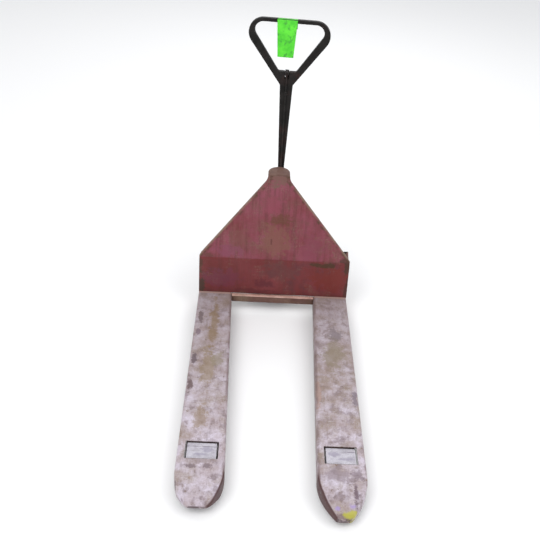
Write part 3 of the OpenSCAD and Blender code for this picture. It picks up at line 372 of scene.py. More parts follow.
# Wear on a piece's outer edges, and an ambient occlusion mask for its corners that brings on rust there and paints
# shade into them
wear_and_corner_shade, given, result = group_of(
    "wear_and_corner_shade",
    [("Radius", "Float", 0.004), ("Gain", "Float", 4.0), ("Reach", "Float", 0.03)],
    [("Edges", "Float"), ("Corners", "Float")],
)
edge_round = wear_and_corner_shade.nodes.new("ShaderNodeBevel")
edge_round.samples = 4
put(wear_and_corner_shade, given["Radius"], edge_round.inputs["Radius"])
edge_flat = wear_and_corner_shade.nodes.new("ShaderNodeNewGeometry")
edge_likeness = wear_and_corner_shade.nodes.new("ShaderNodeVectorMath")
edge_likeness.operation = "DOT_PRODUCT"
put(wear_and_corner_shade, edge_round.outputs[0], edge_likeness.inputs[0])
put(wear_and_corner_shade, edge_flat.outputs["Normal"], edge_likeness.inputs[1])
edge_bend = maths(wear_and_corner_shade, "SUBTRACT", 1.0, edge_likeness.outputs["Value"])
edge_place = wear_and_corner_shade.nodes.new("ShaderNodeTexCoord").outputs["Object"]
edge_patch = ramp(wear_and_corner_shade, cloud(wear_and_corner_shade, edge_place, 45.0, 6.0, 0.7), 0.38, 0.62)
edge_shade = wear_and_corner_shade.nodes.new("ShaderNodeAmbientOcclusion")
edge_shade.samples = 4
put(wear_and_corner_shade, given["Reach"], edge_shade.inputs["Distance"])
edge_open = ramp(wear_and_corner_shade, edge_shade.outputs["AO"], 0.45, 0.75)
edge_sum = maths(wear_and_corner_shade, "MULTIPLY", edge_bend, given["Gain"])
edge_sum = maths(wear_and_corner_shade, "MULTIPLY", edge_sum, edge_patch)
edge_sum = maths(wear_and_corner_shade, "MULTIPLY", edge_sum, edge_open)
put(wear_and_corner_shade, ramp(wear_and_corner_shade, edge_sum, 0.1, 0.7), result["Edges"])
put(wear_and_corner_shade, ramp(wear_and_corner_shade, edge_shade.outputs["AO"], 0.85, 0.35), result["Corners"])

# Old paint: faded in blotches, drawn out in streaks, scratched, stained and rusted through
worn_paint, given, result = group_of(
    "worn_paint",
    [
        ("Paint", "Color", (0.4, 0.1, 0.1, 1)),
        ("Faded", "Color", (0.5, 0.2, 0.2, 1)),
        ("Dull", "Color", (0.3, 0.1, 0.1, 1)),
        ("Stain", "Color", (0.3, 0.2, 0.1, 1)),
        ("Rust", "Color", (0.2, 0.1, 0.05, 1)),
        ("Bare", "Color", (0.4, 0.38, 0.36, 1)),
        ("Blotch", "Float", 9.0),
        ("Dulled", "Float", 0.5),
        ("Streak", "Vector", (1.0, 1.0, 1.0)),
        ("Streaks", "Float", 0.5),
        ("Stained", "Float", 0.4),
        ("Rusted", "Float", 0.3),
        ("Scratched", "Float", 0.5),
        ("Edges", "Float", 0.0),
        ("Corners", "Float", 0.0),
    ],
    [("Color", "Color"), ("Roughness", "Float"), ("Height", "Float")],
)
paint_place = worn_paint.nodes.new("ShaderNodeTexCoord").outputs["Object"]
paint_blotch = cloud(worn_paint, paint_place, given["Blotch"], 6.0, 0.65)
paint_colour = mixed(
    worn_paint, ramp(worn_paint, paint_blotch, 0.36, 0.64), given["Paint"], given["Faded"]
)
paint_finer = maths(worn_paint, "DIVIDE", given["Blotch"], 0.55)
paint_cloud = cloud(worn_paint, paint_place, paint_finer, 5.0, 0.6)
paint_dull = maths(worn_paint, "MULTIPLY", ramp(worn_paint, paint_cloud, 0.5, 0.62), given["Dulled"])
paint_colour = mixed(worn_paint, paint_dull, paint_colour, given["Dull"])
paint_drawn = stretched(worn_paint, paint_place, given["Streak"])
paint_streak = cloud(worn_paint, paint_drawn, 55.0, 7.0, 0.72)
paint_light = maths(
    worn_paint, "MULTIPLY", ramp(worn_paint, paint_streak, 0.48, 0.72), given["Streaks"]
)
paint_colour = mixed(worn_paint, paint_light, paint_colour, given["Faded"])
paint_dark = maths(
    worn_paint, "MULTIPLY", ramp(worn_paint, paint_streak, 0.5, 0.28), given["Streaks"]
)
paint_colour = mixed(worn_paint, paint_dark, paint_colour, given["Rust"])
paint_mark = cloud(worn_paint, paint_place, 6.5, 8.0, 0.74)
paint_from = maths(worn_paint, "SUBTRACT", 0.80, maths(worn_paint, "MULTIPLY", given["Stained"], 0.5))
paint_stain = ramp(worn_paint, paint_mark, paint_from, maths(worn_paint, "ADD", paint_from, 0.16))
paint_colour = mixed(
    worn_paint, maths(worn_paint, "MULTIPLY", paint_stain, 0.75), paint_colour, given["Stain"]
)
paint_grain = cloud(worn_paint, paint_place, 210.0, 3.0, 0.6)
paint_pit = cloud(worn_paint, paint_place, 34.0, 9.0, 0.78)
paint_from = maths(worn_paint, "SUBTRACT", 0.80, maths(worn_paint, "MULTIPLY", given["Rusted"], 0.5))
paint_from = maths(
    worn_paint, "SUBTRACT", paint_from, maths(worn_paint, "MULTIPLY", given["Corners"], 0.22)
)
paint_rust = ramp(worn_paint, paint_pit, paint_from, maths(worn_paint, "ADD", paint_from, 0.07))
paint_brown = mixed(worn_paint, paint_grain, given["Rust"], given["Stain"])
paint_colour = mixed(worn_paint, paint_rust, paint_colour, paint_brown)
paint_cut = 0.0
for cut_factors in ((130.0, 8.0, 11.0), (9.0, 120.0, 120.0)):
    paint_line = cloud(worn_paint, stretched(worn_paint, paint_place, cut_factors), 1.0, 2.0)
    paint_off = maths(worn_paint, "ABSOLUTE", off_middle(worn_paint, paint_line))
    paint_cut = maths(worn_paint, "ADD", paint_cut, ramp(worn_paint, paint_off, 0.008, 0.002))
paint_gate = ramp(worn_paint, cloud(worn_paint, paint_place, 13.0, 3.0), 0.5, 0.6)
paint_cut = maths(worn_paint, "MULTIPLY", paint_cut, paint_gate)
paint_cut = maths(worn_paint, "MULTIPLY", paint_cut, given["Scratched"])
paint_colour = mixed(worn_paint, paint_cut, paint_colour, given["Bare"])
paint_colour = mixed(worn_paint, given["Edges"], paint_colour, given["Bare"])
# Painted shade with grime: corners darken towards the rust colour by ambient occlusion
paint_grime_and_shade = maths(worn_paint, "MULTIPLY", given["Corners"], 0.7)
paint_colour = mixed(worn_paint, paint_grime_and_shade, paint_colour, given["Rust"])
paint_speck = maths(worn_paint, "MULTIPLY", ramp(worn_paint, paint_grain, 0.62, 0.34), 0.22)
put(worn_paint, mixed(worn_paint, paint_speck, paint_colour, given["Rust"]), result["Color"])
paint_matt = maths(worn_paint, "MULTIPLY", paint_rust, 0.3)
paint_matt = maths(worn_paint, "ADD", paint_matt, maths(worn_paint, "MULTIPLY", paint_grain, 0.2))
paint_shine = maths(worn_paint, "MULTIPLY", given["Edges"], 0.15)
paint_matt = maths(worn_paint, "SUBTRACT", maths(worn_paint, "ADD", paint_matt, 0.42), paint_shine)
put(worn_paint, paint_matt, result["Roughness"])
paint_up = maths(worn_paint, "MULTIPLY", paint_grain, 0.3)
paint_down = maths(worn_paint, "ADD", paint_rust, maths(worn_paint, "MULTIPLY", paint_cut, 0.6))
paint_down = maths(worn_paint, "MULTIPLY", paint_down, 0.5)
paint_up = maths(worn_paint, "SUBTRACT", maths(worn_paint, "ADD", paint_up, 0.6), paint_down)
put(worn_paint, paint_up, result["Height"])


def painted(name, metallic=0.0, gloss=0.2, bump=0.0006, radius=0.004, reach=0.03, **looks):
    """A material of worn paint. Its looks are the group's inputs, by name."""
    material = bpy.data.materials.new(name)
    material.use_nodes = True
    tree = material.node_tree
    shader = tree.nodes["Principled BSDF"]
    shader.inputs["Metallic"].default_value = metallic
    shader.inputs["Specular IOR Level"].default_value = gloss
    # Edge wear, and the ambient occlusion corner mask that paints shade and rust into corners
    wear_and_shade = tree.nodes.new("ShaderNodeGroup")
    wear_and_shade.node_tree = wear_and_corner_shade
    wear_and_shade.inputs["Radius"].default_value = radius
    wear_and_shade.inputs["Reach"].default_value = reach
    paint = tree.nodes.new("ShaderNodeGroup")
    paint.node_tree = worn_paint
    for look, value in looks.items():
        put(tree, value, paint.inputs[look])
    tree.links.new(wear_and_shade.outputs["Edges"], paint.inputs["Edges"])
    tree.links.new(wear_and_shade.outputs["Corners"], paint.inputs["Corners"])
    tree.links.new(paint.outputs["Color"], shader.inputs["Base Color"])
    tree.links.new(paint.outputs["Roughness"], shader.inputs["Roughness"])
    relief = tree.nodes.new("ShaderNodeBump")
    relief.inputs["Distance"].default_value = bump
    relief.inputs["Strength"].default_value = 0.8
    tree.links.new(paint.outputs["Height"], relief.inputs["Height"])
    tree.links.new(relief.outputs["Normal"], shader.inputs["Normal"])
    return material


fork_paint = painted(
    "fork_paint",
    Paint=(0.41, 0.33, 0.34),
    Faded=(0.64, 0.58, 0.67),
    Dull=(0.245, 0.190, 0.205),
    Stain=(0.27, 0.195, 0.13),
    Rust=(0.13, 0.085, 0.08),
    Bare=(0.72, 0.70, 0.72),
    Blotch=15.0,
    Dulled=0.8,
    Streak=(1.0, 0.22, 1.0),
    Streaks=0.4,
    Stained=0.66,
    Rusted=0.42,
    Scratched=0.6,
)
fork_tree = fork_paint.node_tree
fork_place = fork_tree.nodes.new("ShaderNodeTexCoord").outputs["Object"]
fork_x, fork_y = parts_of(fork_tree, fork_place)[:2]
fork_side = maths(fork_tree, "ABSOLUTE", fork_x)
fork_facing = fork_tree.nodes.new("ShaderNodeNewGeometry").outputs["Normal"]
facing_x, facing_y = parts_of(fork_tree, fork_facing)[:2]

# Duller and browner towards the heel
heel_darkening = maths(fork_tree, "MULTIPLY", ramp(fork_tree, fork_y, -0.45, 0.40), 0.55)
marked(fork_paint, heel_darkening, (0.22, 0.165, 0.155))

# Tan-brown stains along the forks' middles, dark marks along the outer edges and on the noses
fork_stains = (
    ((-0.258, 0.20, 0.083), (0.022, 0.17, 0.05), (0.23, 0.155, 0.085), 0.75),
    ((-0.268, -0.08, 0.083), (0.035, 0.13, 0.05), (0.26, 0.19, 0.115), 0.65),
    ((-0.225, -0.03, 0.083), (0.035, 0.05, 0.05), (0.25, 0.21, 0.15), 0.6),
    ((-0.270, -0.37, 0.083), (0.030, 0.08, 0.05), (0.27, 0.19, 0.12), 0.6),
    ((-0.318, 0.25, 0.083), (0.010, 0.05, 0.05), (0.13, 0.09, 0.09), 0.8),
    ((-0.325, -0.03, 0.083), (0.012, 0.035, 0.05), (0.12, 0.085, 0.095), 0.85),
    ((-0.330, -0.19, 0.083), (0.015, 0.040, 0.05), (0.12, 0.075, 0.075), 0.85),
    ((-0.322, 0.14, 0.083), (0.012, 0.03, 0.05), (0.15, 0.10, 0.13), 0.7),
    ((-0.290, -0.605, 0.083), (0.026, 0.012, 0.05), (0.17, 0.125, 0.135), 0.8),
    ((-0.228, -0.600, 0.083), (0.026, 0.014, 0.05), (0.17, 0.125, 0.14), 0.75),
    ((-0.260, -0.580, 0.083), (0.060, 0.020, 0.05), (0.28, 0.215, 0.205), 0.6),
    ((0.275, 0.16, 0.083), (0.035, 0.05, 0.05), (0.17, 0.135, 0.145), 0.7),
    ((0.262, 0.03, 0.083), (0.050, 0.10, 0.05), (0.23, 0.185, 0.13), 0.65),
    ((0.330, -0.23, 0.083), (0.014, 0.05, 0.05), (0.17, 0.135, 0.17), 0.7),
    ((0.185, -0.22, 0.083), (0.012, 0.10, 0.05), (0.36, 0.235, 0.20), 0.7),
    ((0.232, -0.62, 0.083), (0.050, 0.035, 0.05), (0.27, 0.215, 0.245), 0.65),
    ((0.308, -0.62, 0.083), (0.026, 0.030, 0.05), (0.20, 0.15, 0.175), 0.7),
    ((0.298, -0.70, 0.078), (0.010, 0.055, 0.05), (0.14, 0.095, 0.115), 0.85),
    ((0.228, -0.748, 0.060), (0.014, 0.008, 0.03), (0.36, 0.27, 0.54), 0.75),
    ((0.280, -0.740, 0.062), (0.014, 0.009, 0.03), (0.36, 0.27, 0.54), 0.75),
    ((-0.338, -0.690, 0.070), (0.006, 0.030, 0.050), (0.13, 0.10, 0.11), 0.8),
    ((-0.318, -0.738, 0.060), (0.012, 0.012, 0.030), (0.15, 0.09, 0.11), 0.8),
    ((0.262, -0.772, 0.050), (0.045, 0.010, 0.030), (0.17, 0.115, 0.115), 0.7),
)
blotted(fork_paint, fork_stains)

# A dark line along the inner bend, which runs inwards from the heel to the nose
inner_spread = fork_front_w - fork_heel_w
inner_line = maths(fork_tree, "MULTIPLY", ramp(fork_tree, fork_y, 0.44, -0.62), inner_spread)
inner_line = maths(fork_tree, "SUBTRACT", fork_high.x - fork_heel_w, inner_line)
inner_off = maths(fork_tree, "SUBTRACT", fork_side, inner_line)
inner_mask = ramp(fork_tree, inner_off, 0.013, 0.006)
inner_gate = ramp(fork_tree, cloud(fork_tree, fork_place, 9.0, 4.0), 0.40, 0.55)
marked(fork_paint, maths(fork_tree, "MULTIPLY", inner_mask, inner_gate), (0.17, 0.115, 0.11), 0.6)

# Brown walls inside the noses, scraped tips and a pale rubbed line at the heel
inward = maths(fork_tree, "MULTIPLY", facing_x, fork_x)
nose_wall = maths(
    fork_tree,
    "MULTIPLY",
    ramp(fork_tree, inward, -0.04, -0.10),
    ramp(fork_tree, fork_y, nose_start + 0.02, nose_start - 0.01),
)
marked(fork_paint, nose_wall, (0.070, 0.028, 0.027), 0.92)
tip_gate = ramp(fork_tree, cloud(fork_tree, fork_place, 60.0, 5.0, 0.7), 0.38, 0.52)
tip_mask = maths(fork_tree, "MULTIPLY", ramp(fork_tree, facing_y, -0.80, -0.92), tip_gate)
tip_mask = maths(fork_tree, "MULTIPLY", tip_mask, ramp(fork_tree, fork_y, -0.60, -0.70))
marked(fork_paint, tip_mask, (0.11, 0.08, 0.085), 0.9)
heel_line = ramp(fork_tree, fork_y, heel_y - 0.016, heel_y - 0.007)
marked(fork_paint, heel_line, (0.40, 0.255, 0.215), 0.75)

# A plain smear of yellow paint at the right tip
smear_place = (0.279, -0.765, 0.053)
smear_size = (0.030, 0.016, 0.04)
smear = spot(fork_tree, fork_place, smear_place, smear_size, 0.8)
marked(fork_paint, smear, (0.46, 0.44, 0.045), 0.8)
for fork, cad_node in ((fork_right, "fork_right"), (fork_left, "fork_left")):
    fork.data.materials.clear()
    fork.data.materials.append(fork_paint)
    smooth(fork)
    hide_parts(cad_node)
    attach(fork, "frame")

# ---- Front plate and A-frame ----
# One sheet in use: the leaning front plate, folded back into the triangle that runs up to the head,
# with its sloping edges turned back as flanges. Dull red paint, darker below the fold.
fold_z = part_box("front_plate")[1].z
head_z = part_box("a_frame_plate")[1].z
half_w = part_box("a_frame_plate")[1].x
flange_depth = 0.038
flange_least = 0.014
flange_end_z = head_z - 0.044
flange_fade = 0.05
flange_rise = 0.07
flange_round = 0.006
fold_round = 0.012
slope_foot_x = 0.349
slope_run = 0.872
plate_thickness = 0.006
nodes = frame["nodes"]


def copied(node, name):
    """A new piece with a CAD node's mesh, its doubles merged and its flat faces made whole."""
    piece = bpy.data.objects.new(name, nodes[node].data.copy())
    bpy.context.collection.objects.link(piece)
    only(piece)
    bpy.ops.object.mode_set(mode="EDIT")
    bpy.ops.mesh.select_all(action="SELECT")
    bpy.ops.mesh.remove_doubles(threshold=0.00002)
    bpy.ops.mesh.dissolve_limited(angle_limit=math.radians(0.5))
    bpy.ops.object.mode_set(mode="OBJECT")
    return piece


plate = copied("a_frame_plate", "a_frame_sheet")
plate_foot = copied("front_plate", "front_sheet")
for sheet in (plate, plate_foot):
    only(sheet)
    bpy.ops.object.mode_set(mode="EDIT")
    pick(sheet, faces=lambda face: not (face.normal.y < -0.3 and abs(face.normal.x) < 0.05))
    bpy.ops.mesh.delete(type="FACE")
    bpy.ops.object.mode_set(mode="OBJECT")
only(plate)
plate_foot.select_set(True)
bpy.ops.object.join()
bpy.ops.object.mode_set(mode="EDIT")
bpy.ops.mesh.select_all(action="SELECT")
bpy.ops.mesh.remove_doubles(threshold=0.0003)


def is_fold(edge):
    """True on the line where the front plate is folded into the A-frame."""
    return all(abs(vert.co.z - fold_z) < 0.0005 for vert in edge.verts)


def is_slope(edge):
    """True on the outer edges of the A-frame, from the fold up to the head."""
    low, high = sorted(vert.co.z for vert in edge.verts)
    return edge.is_boundary and low > fold_z - 0.0005 and high > low + 0.0002 and high < head_z - 0.002


def is_turned(edge):
    """True on the sharp edges where the flanges turn back."""
    return len(edge.link_faces) == 2 and edge.calc_face_angle() > math.radians(60)


def area_above_fold(face):
    """A face's area, or nothing for a face below the fold."""
    return face.calc_area() if face.calc_center_median().z > fold_z else 0


pick(plate, edges=is_slope)
bpy.ops.mesh.extrude_region_move()
plate_mesh = bmesh.from_edit_mesh(plate.data)
plate_mesh.normal_update()
front = max(plate_mesh.faces, key=area_above_fold)
back_way = -front.normal.copy()
for vert in plate_mesh.verts:
    if vert.select:
        share = (flange_end_z + flange_fade - vert.co.z) / flange_fade
        share = min(share, (vert.co.z - fold_z) / flange_rise)
        share = min(1.0, max(0.0, share))
        vert.co += back_way * (flange_least + (flange_depth - flange_least) * share)
        vert.co.z = max(vert.co.z, fold_z + 0.0005)
bmesh.update_edit_mesh(plate.data)
bpy.ops.mesh.select_all(action="SELECT")
bpy.ops.mesh.normals_make_consistent(inside=False)
plate_mesh = bmesh.from_edit_mesh(plate.data)
front = max(plate_mesh.faces, key=lambda face: face.calc_area())
if front.normal.y > 0:
    bpy.ops.mesh.flip_normals()
pick(plate, edges=is_fold)
bpy.ops.mesh.bevel(offset=fold_round, segments=5, affect="EDGES")
pick(plate, edges=is_turned)
bpy.ops.mesh.bevel(offset=flange_round, segments=4, affect="EDGES")
bpy.ops.object.mode_set(mode="OBJECT")
modify(plate, "SOLIDIFY", thickness=plate_thickness, offset=-1, use_even_offset=True)
modify(
    plate, "BEVEL", width=sheet_round, segments=2, limit_method="ANGLE", angle_limit=sheet_angle
)
for vert in plate.data.vertices:
    vert.co.x = max(-half_w, min(half_w, vert.co.x))
plate.data.materials.clear()

frame_looks = dict(
    Stain=(0.15, 0.075, 0.055),
    Rust=(0.085, 0.032, 0.028),
    Bare=(0.24, 0.165, 0.12),
    Streak=(1.0, 0.06, 0.06),
    Blotch=8.0,
    Rusted=0.36,
    Scratched=0.7,
)
frame_red = painted(
    "frame_red",
    Paint=(0.185, 0.039, 0.046),
    Faded=(0.245, 0.064, 0.092),
    Dull=(0.175, 0.062, 0.060),
    Dulled=0.6,
    Streaks=0.7,
    Stained=0.5,
    **frame_looks,
)
band_red = painted(
    "band_red",
    Paint=(0.150, 0.026, 0.026),
    Faded=(0.190, 0.039, 0.044),
    Dull=(0.105, 0.032, 0.040),
    Dulled=0.7,
    Streaks=0.5,
    Stained=0.5,
    **frame_looks,
)

# Tan and mauve areas, rust patches and a short scratch on the A-frame
frame_patches = (
    ((0.0, 0.50, 0.345), (0.075, 0.12, 0.085), (0.19, 0.080, 0.060), 0.7),
    ((-0.165, 0.48, 0.350), (0.050, 0.10, 0.070), (0.18, 0.062, 0.058), 0.6),
    ((-0.02, 0.55, 0.500), (0.055, 0.10, 0.050), (0.24, 0.055, 0.082), 0.6),
    ((0.17, 0.48, 0.320), (0.060, 0.10, 0.075), (0.20, 0.048, 0.075), 0.6),
    ((-0.20, 0.46, 0.295), (0.080, 0.10, 0.030), (0.21, 0.060, 0.100), 0.6),
    ((0.022, 0.52, 0.436), (0.058, 0.08, 0.028), (0.12, 0.046, 0.028), 0.75),
    ((-0.020, 0.48, 0.342), (0.004, 0.08, 0.012), (0.11, 0.040, 0.035), 0.8),
    ((0.0, 0.59, 0.625), (0.080, 0.20, 0.048), (0.155, 0.088, 0.070), 0.8),
    ((0.32, 0.44, 0.268), (0.030, 0.20, 0.022), (0.060, 0.036, 0.022), 0.7),
    ((-0.30, 0.44, 0.270), (0.045, 0.20, 0.014), (0.11, 0.045, 0.035), 0.7),
)
blotted(frame_red, frame_patches)

# Brown wear and dark chips along the sloping edges. These stand slope_foot_x from the middle at
# the fold and draw in by slope_run for each metre up.
frame_tree = frame_red.node_tree
frame_place = frame_tree.nodes.new("ShaderNodeTexCoord").outputs["Object"]
frame_x, _, frame_z = parts_of(frame_tree, frame_place)
slope_fall = maths(frame_tree, "SUBTRACT", frame_z, fold_z)
slope_fall = maths(frame_tree, "MULTIPLY", slope_fall, slope_run)
slope_in = maths(frame_tree, "SUBTRACT", slope_foot_x, slope_fall)
slope_in = maths(frame_tree, "SUBTRACT", slope_in, maths(frame_tree, "ABSOLUTE", frame_x))
chip_gate = ramp(frame_tree, cloud(frame_tree, frame_place, 34.0, 5.0, 0.7), 0.50, 0.60)
chip_mask = maths(frame_tree, "MULTIPLY", ramp(frame_tree, slope_in, 0.024, 0.014), chip_gate)
marked(frame_red, chip_mask, (0.080, 0.042, 0.026), 0.85)
rim_gate = ramp(frame_tree, cloud(frame_tree, frame_place, 12.0, 4.0), 0.34, 0.52)
rim_gate = maths(frame_tree, "MULTIPLY", rim_gate, ramp(frame_tree, frame_z, 0.585, 0.555))
rim_mask = maths(frame_tree, "MULTIPLY", ramp(frame_tree, slope_in, 0.010, 0.004), rim_gate)
marked(frame_red, rim_mask, (0.215, 0.150, 0.105), 0.8)

# Redder and darker areas on the front plate, with rust at its corners
band_patches = (
    ((0.27, 0.46, 0.170), (0.110, 0.10, 0.080), (0.165, 0.028, 0.022), 0.75),
    ((-0.24, 0.46, 0.150), (0.100, 0.10, 0.055), (0.150, 0.034, 0.058), 0.6),
    ((0.03, 0.46, 0.200), (0.110, 0.10, 0.045), (0.120, 0.042, 0.042), 0.6),
    ((0.235, 0.46, 0.243), (0.075, 0.10, 0.014), (0.062, 0.034, 0.018), 0.85),
    ((0.332, 0.46, 0.235), (0.022, 0.10, 0.040), (0.055, 0.032, 0.020), 0.8),
    ((0.338, 0.46, 0.120), (0.012, 0.10, 0.060), (0.055, 0.026, 0.020), 0.7),
    ((-0.332, 0.46, 0.115), (0.022, 0.10, 0.040), (0.055, 0.034, 0.024), 0.85),
    ((-0.337, 0.46, 0.220), (0.012, 0.10, 0.050), (0.070, 0.040, 0.026), 0.7),
    ((-0.10, 0.44, 0.098), (0.12, 0.10, 0.012), (0.100, 0.020, 0.024), 0.6),
    ((-0.04, 0.46, 0.135), (0.045, 0.10, 0.028), (0.085, 0.018, 0.026), 0.6),
)
blotted(band_red, band_patches)
plate.data.materials.append(frame_red)
plate.data.materials.append(band_red)
for face in plate.data.polygons:
    face.material_index = 1 if face.center.z < fold_z - 0.002 else 0
smooth(plate)
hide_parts("a_frame_plate", "front_plate", "a_frame_flanges")
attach(plate, "frame")

# ---- Bearing head, tie bar and heel box ----
# A rounded forged head at the top of the triangle, a flat bar between the forks, and the welded
# plates that close the heel box. Brown worn steel with traces of the red paint.
bodies = frame["record"]["behaviour"]["bodies"]
body_of_node = {node: body for body, held in bodies.items() for node in held}
slot_of_node = {part["node"]: part["material_slot"] for part in frame["record"]["subparts"]}


def eased(node, radius, material, segments=3, angle=35):
    """Replaces a CAD node by the same shape with rounded edges and its own material."""
    piece = copied(node, node + "_finished")
    modify(
        piece, "BEVEL", width=radius, segments=segments, limit_method="ANGLE",
        angle_limit=math.radians(angle), miter_outer="MITER_ARC",
    )
    piece.data.materials.clear()
    piece.data.materials.append(material)
    smooth(piece, angle)
    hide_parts(node)
    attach(piece, body_of_node[node])
    return piece


worn_rust = painted(
    "worn_rust",
    Paint=(0.120, 0.055, 0.044),
    Faded=(0.175, 0.098, 0.075),
    Dull=(0.105, 0.045, 0.048),
    Stain=(0.20, 0.135, 0.09),
    Rust=(0.070, 0.030, 0.026),
    Bare=(0.34, 0.26, 0.21),
    Blotch=22.0,
    Streak=(0.3, 1.0, 1.0),
    Streaks=0.4,
    Stained=0.6,
    Rusted=0.5,
    Scratched=0.5,
)
eased("apex_head", 0.004, worn_rust)
eased("head_gussets", 0.001, frame_red)
tie_bar = eased("lower_tie_bar", 0.003, worn_rust)
# A pale tan for the tie bar's top faces: rubbed wear, with a painted highlight on the faces that look up
tan_wear_and_highlight = painted(
    "tan_wear_and_highlight",
    Paint=(0.56, 0.33, 0.27),
    Faded=(0.68, 0.45, 0.38),
    Dull=(0.40, 0.22, 0.18),
    Stain=(0.24, 0.14, 0.10),
    Rust=(0.12, 0.055, 0.045),
    Bare=(0.58, 0.48, 0.42),
    Blotch=22.0,
    Streak=(0.3, 1.0, 1.0),
    Stained=0.4,
    Rusted=0.35,
)
# Upward faces get the pale tan: rubbed wear and a painted highlight
tie_bar.data.materials.append(tan_wear_and_highlight)
for face in tie_bar.data.polygons:
    face.material_index = 1 if face.normal.z > 0.5 else 0

# The heel box stays out of sight behind the A-frame's corners: its shelf narrows and the side
# plates' upper edges fall towards the back
fold_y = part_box("front_plate")[1].y
channel = eased("box_channel", 0.0015, band_red)
shelf_share = 0.83
shelf_low_z = fold_z - 0.012
shelf_front_y = fold_y + 0.004
for vert in channel.data.vertices:
    if vert.co.z > shelf_low_z and vert.co.y > shelf_front_y:
        vert.co.x *= shelf_share

side_fall = 0.8
side_top_z = fold_z - 0.02
for side in ("left", "right"):
    side_plate = eased("side_plate_" + side, 0.0015, band_red)
    for vert in side_plate.data.vertices:
        if vert.co.z > side_top_z:
            vert.co.z -= side_fall * max(0.0, vert.co.y - fold_y)

# ---- Hydraulic unit ----
# Cast base and tank round the ram, with the pump and its bracket behind: greasy grey castings,
# bright ground rods and dull oily nuts and pins.
pump_grey = painted(
    "pump_grey",
    Paint=(0.090, 0.078, 0.072),
    Faded=(0.13, 0.115, 0.105),
    Dull=(0.060, 0.050, 0.045),
    Stain=(0.055, 0.040, 0.032),
    Rust=(0.045, 0.028, 0.022),
    Bare=(0.24, 0.22, 0.20),
    Blotch=16.0,
    Streak=(1.0, 1.0, 0.2),
    Streaks=0.45,
    Stained=0.7,
    Rusted=0.4,
    Scratched=0.3,
)
bare_steel = painted(
    "bare_steel",
    metallic=0.75,
    bump=0.0002,
    radius=0.002,
    Paint=(0.30, 0.29, 0.28),
    Faded=(0.38, 0.36, 0.34),
    Dull=(0.22, 0.20, 0.19),
    Stain=(0.14, 0.11, 0.09),
    Rust=(0.10, 0.065, 0.05),
    Bare=(0.56, 0.55, 0.54),
    Blotch=40.0,
    Streak=(1.0, 0.3, 0.3),
    Streaks=0.35,
    Stained=0.5,
    Rusted=0.35,
    Scratched=0.5,
)
polished_steel = painted(
    "polished_steel",
    metallic=0.95,
    bump=0.00005,
    radius=0.002,
    Paint=(0.55, 0.55, 0.56),
    Faded=(0.62, 0.62, 0.62),
    Dull=(0.50, 0.50, 0.50),
    Stain=(0.30, 0.27, 0.24),
    Rust=(0.22, 0.18, 0.15),
    Bare=(0.72, 0.72, 0.72),
    Blotch=30.0,
    Streak=(1.0, 1.0, 0.1),
    Streaks=0.2,
    Stained=0.3,
    Rusted=0.12,
    Scratched=0.3,
)
for cast_node, cast_radius in (
    ("pump_base", 0.003),
    ("cylinder_tube", 0.0015),
    ("oil_tank", 0.003),
    ("tank_cover", 0.0015),
    ("handle_bracket", 0.002),
    ("plunger_barrel", 0.002),
    ("lifting_collar", 0.0015),
):
    eased(cast_node, cast_radius, pump_grey)
for turned_node in ("gland_nut", "collar_nut", "filler_plug"):
    eased(turned_node, 0.0008, bare_steel)

# The plunger's return spring, which shortens towards its foot as the plunger goes in, gets a mesh of its own
spring = copied("plunger_spring", "plunger_coil")
spring.data.materials.clear()
spring.data.materials.append(bare_steel)
smooth(spring)
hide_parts("plunger_spring")
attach(spring, "pump_unit")
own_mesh(spring)

# ---- Steer wheels ----
# Hard dark tyres on webbed iron hubs, scuffed and dusty on the tread.
tyre_rubber = painted(
    "tyre_rubber",
    bump=0.0004,
    radius=0.006,
    Paint=(0.040, 0.034, 0.030),
    Faded=(0.075, 0.066, 0.058),
    Dull=(0.030, 0.026, 0.024),
    Stain=(0.11, 0.095, 0.08),
    Rust=(0.022, 0.019, 0.018),
    Bare=(0.13, 0.115, 0.10),
    Blotch=24.0,
    Streak=(1.0, 1.0, 1.0),
    Streaks=0.3,
    Stained=0.6,
    Rusted=0.35,
    Scratched=0.7,
)
for side in ("left", "right"):
    eased("tyre_" + side, 0.002, tyre_rubber)
    eased("wheel_hub_" + side, 0.0012, worn_rust)

# ---- Load yokes and rollers ----
# A yoke swings on a pin in each fork's nose. Its pressed cover shows in the window, worn to pale
# metal, and bends down over the roller behind it.
roller_steel = painted(
    "roller_steel",
    metallic=0.25,
    bump=0.0003,
    radius=0.005,
    Paint=(0.50, 0.48, 0.54),
    Faded=(0.62, 0.60, 0.66),
    Dull=(0.36, 0.34, 0.40),
    Stain=(0.27, 0.22, 0.20),
    Rust=(0.17, 0.13, 0.13),
    Bare=(0.74, 0.72, 0.76),
    Blotch=30.0,
    Streak=(0.25, 1.0, 1.0),
    Streaks=0.4,
    Stained=0.45,
    Rusted=0.25,
    Scratched=0.6,
)

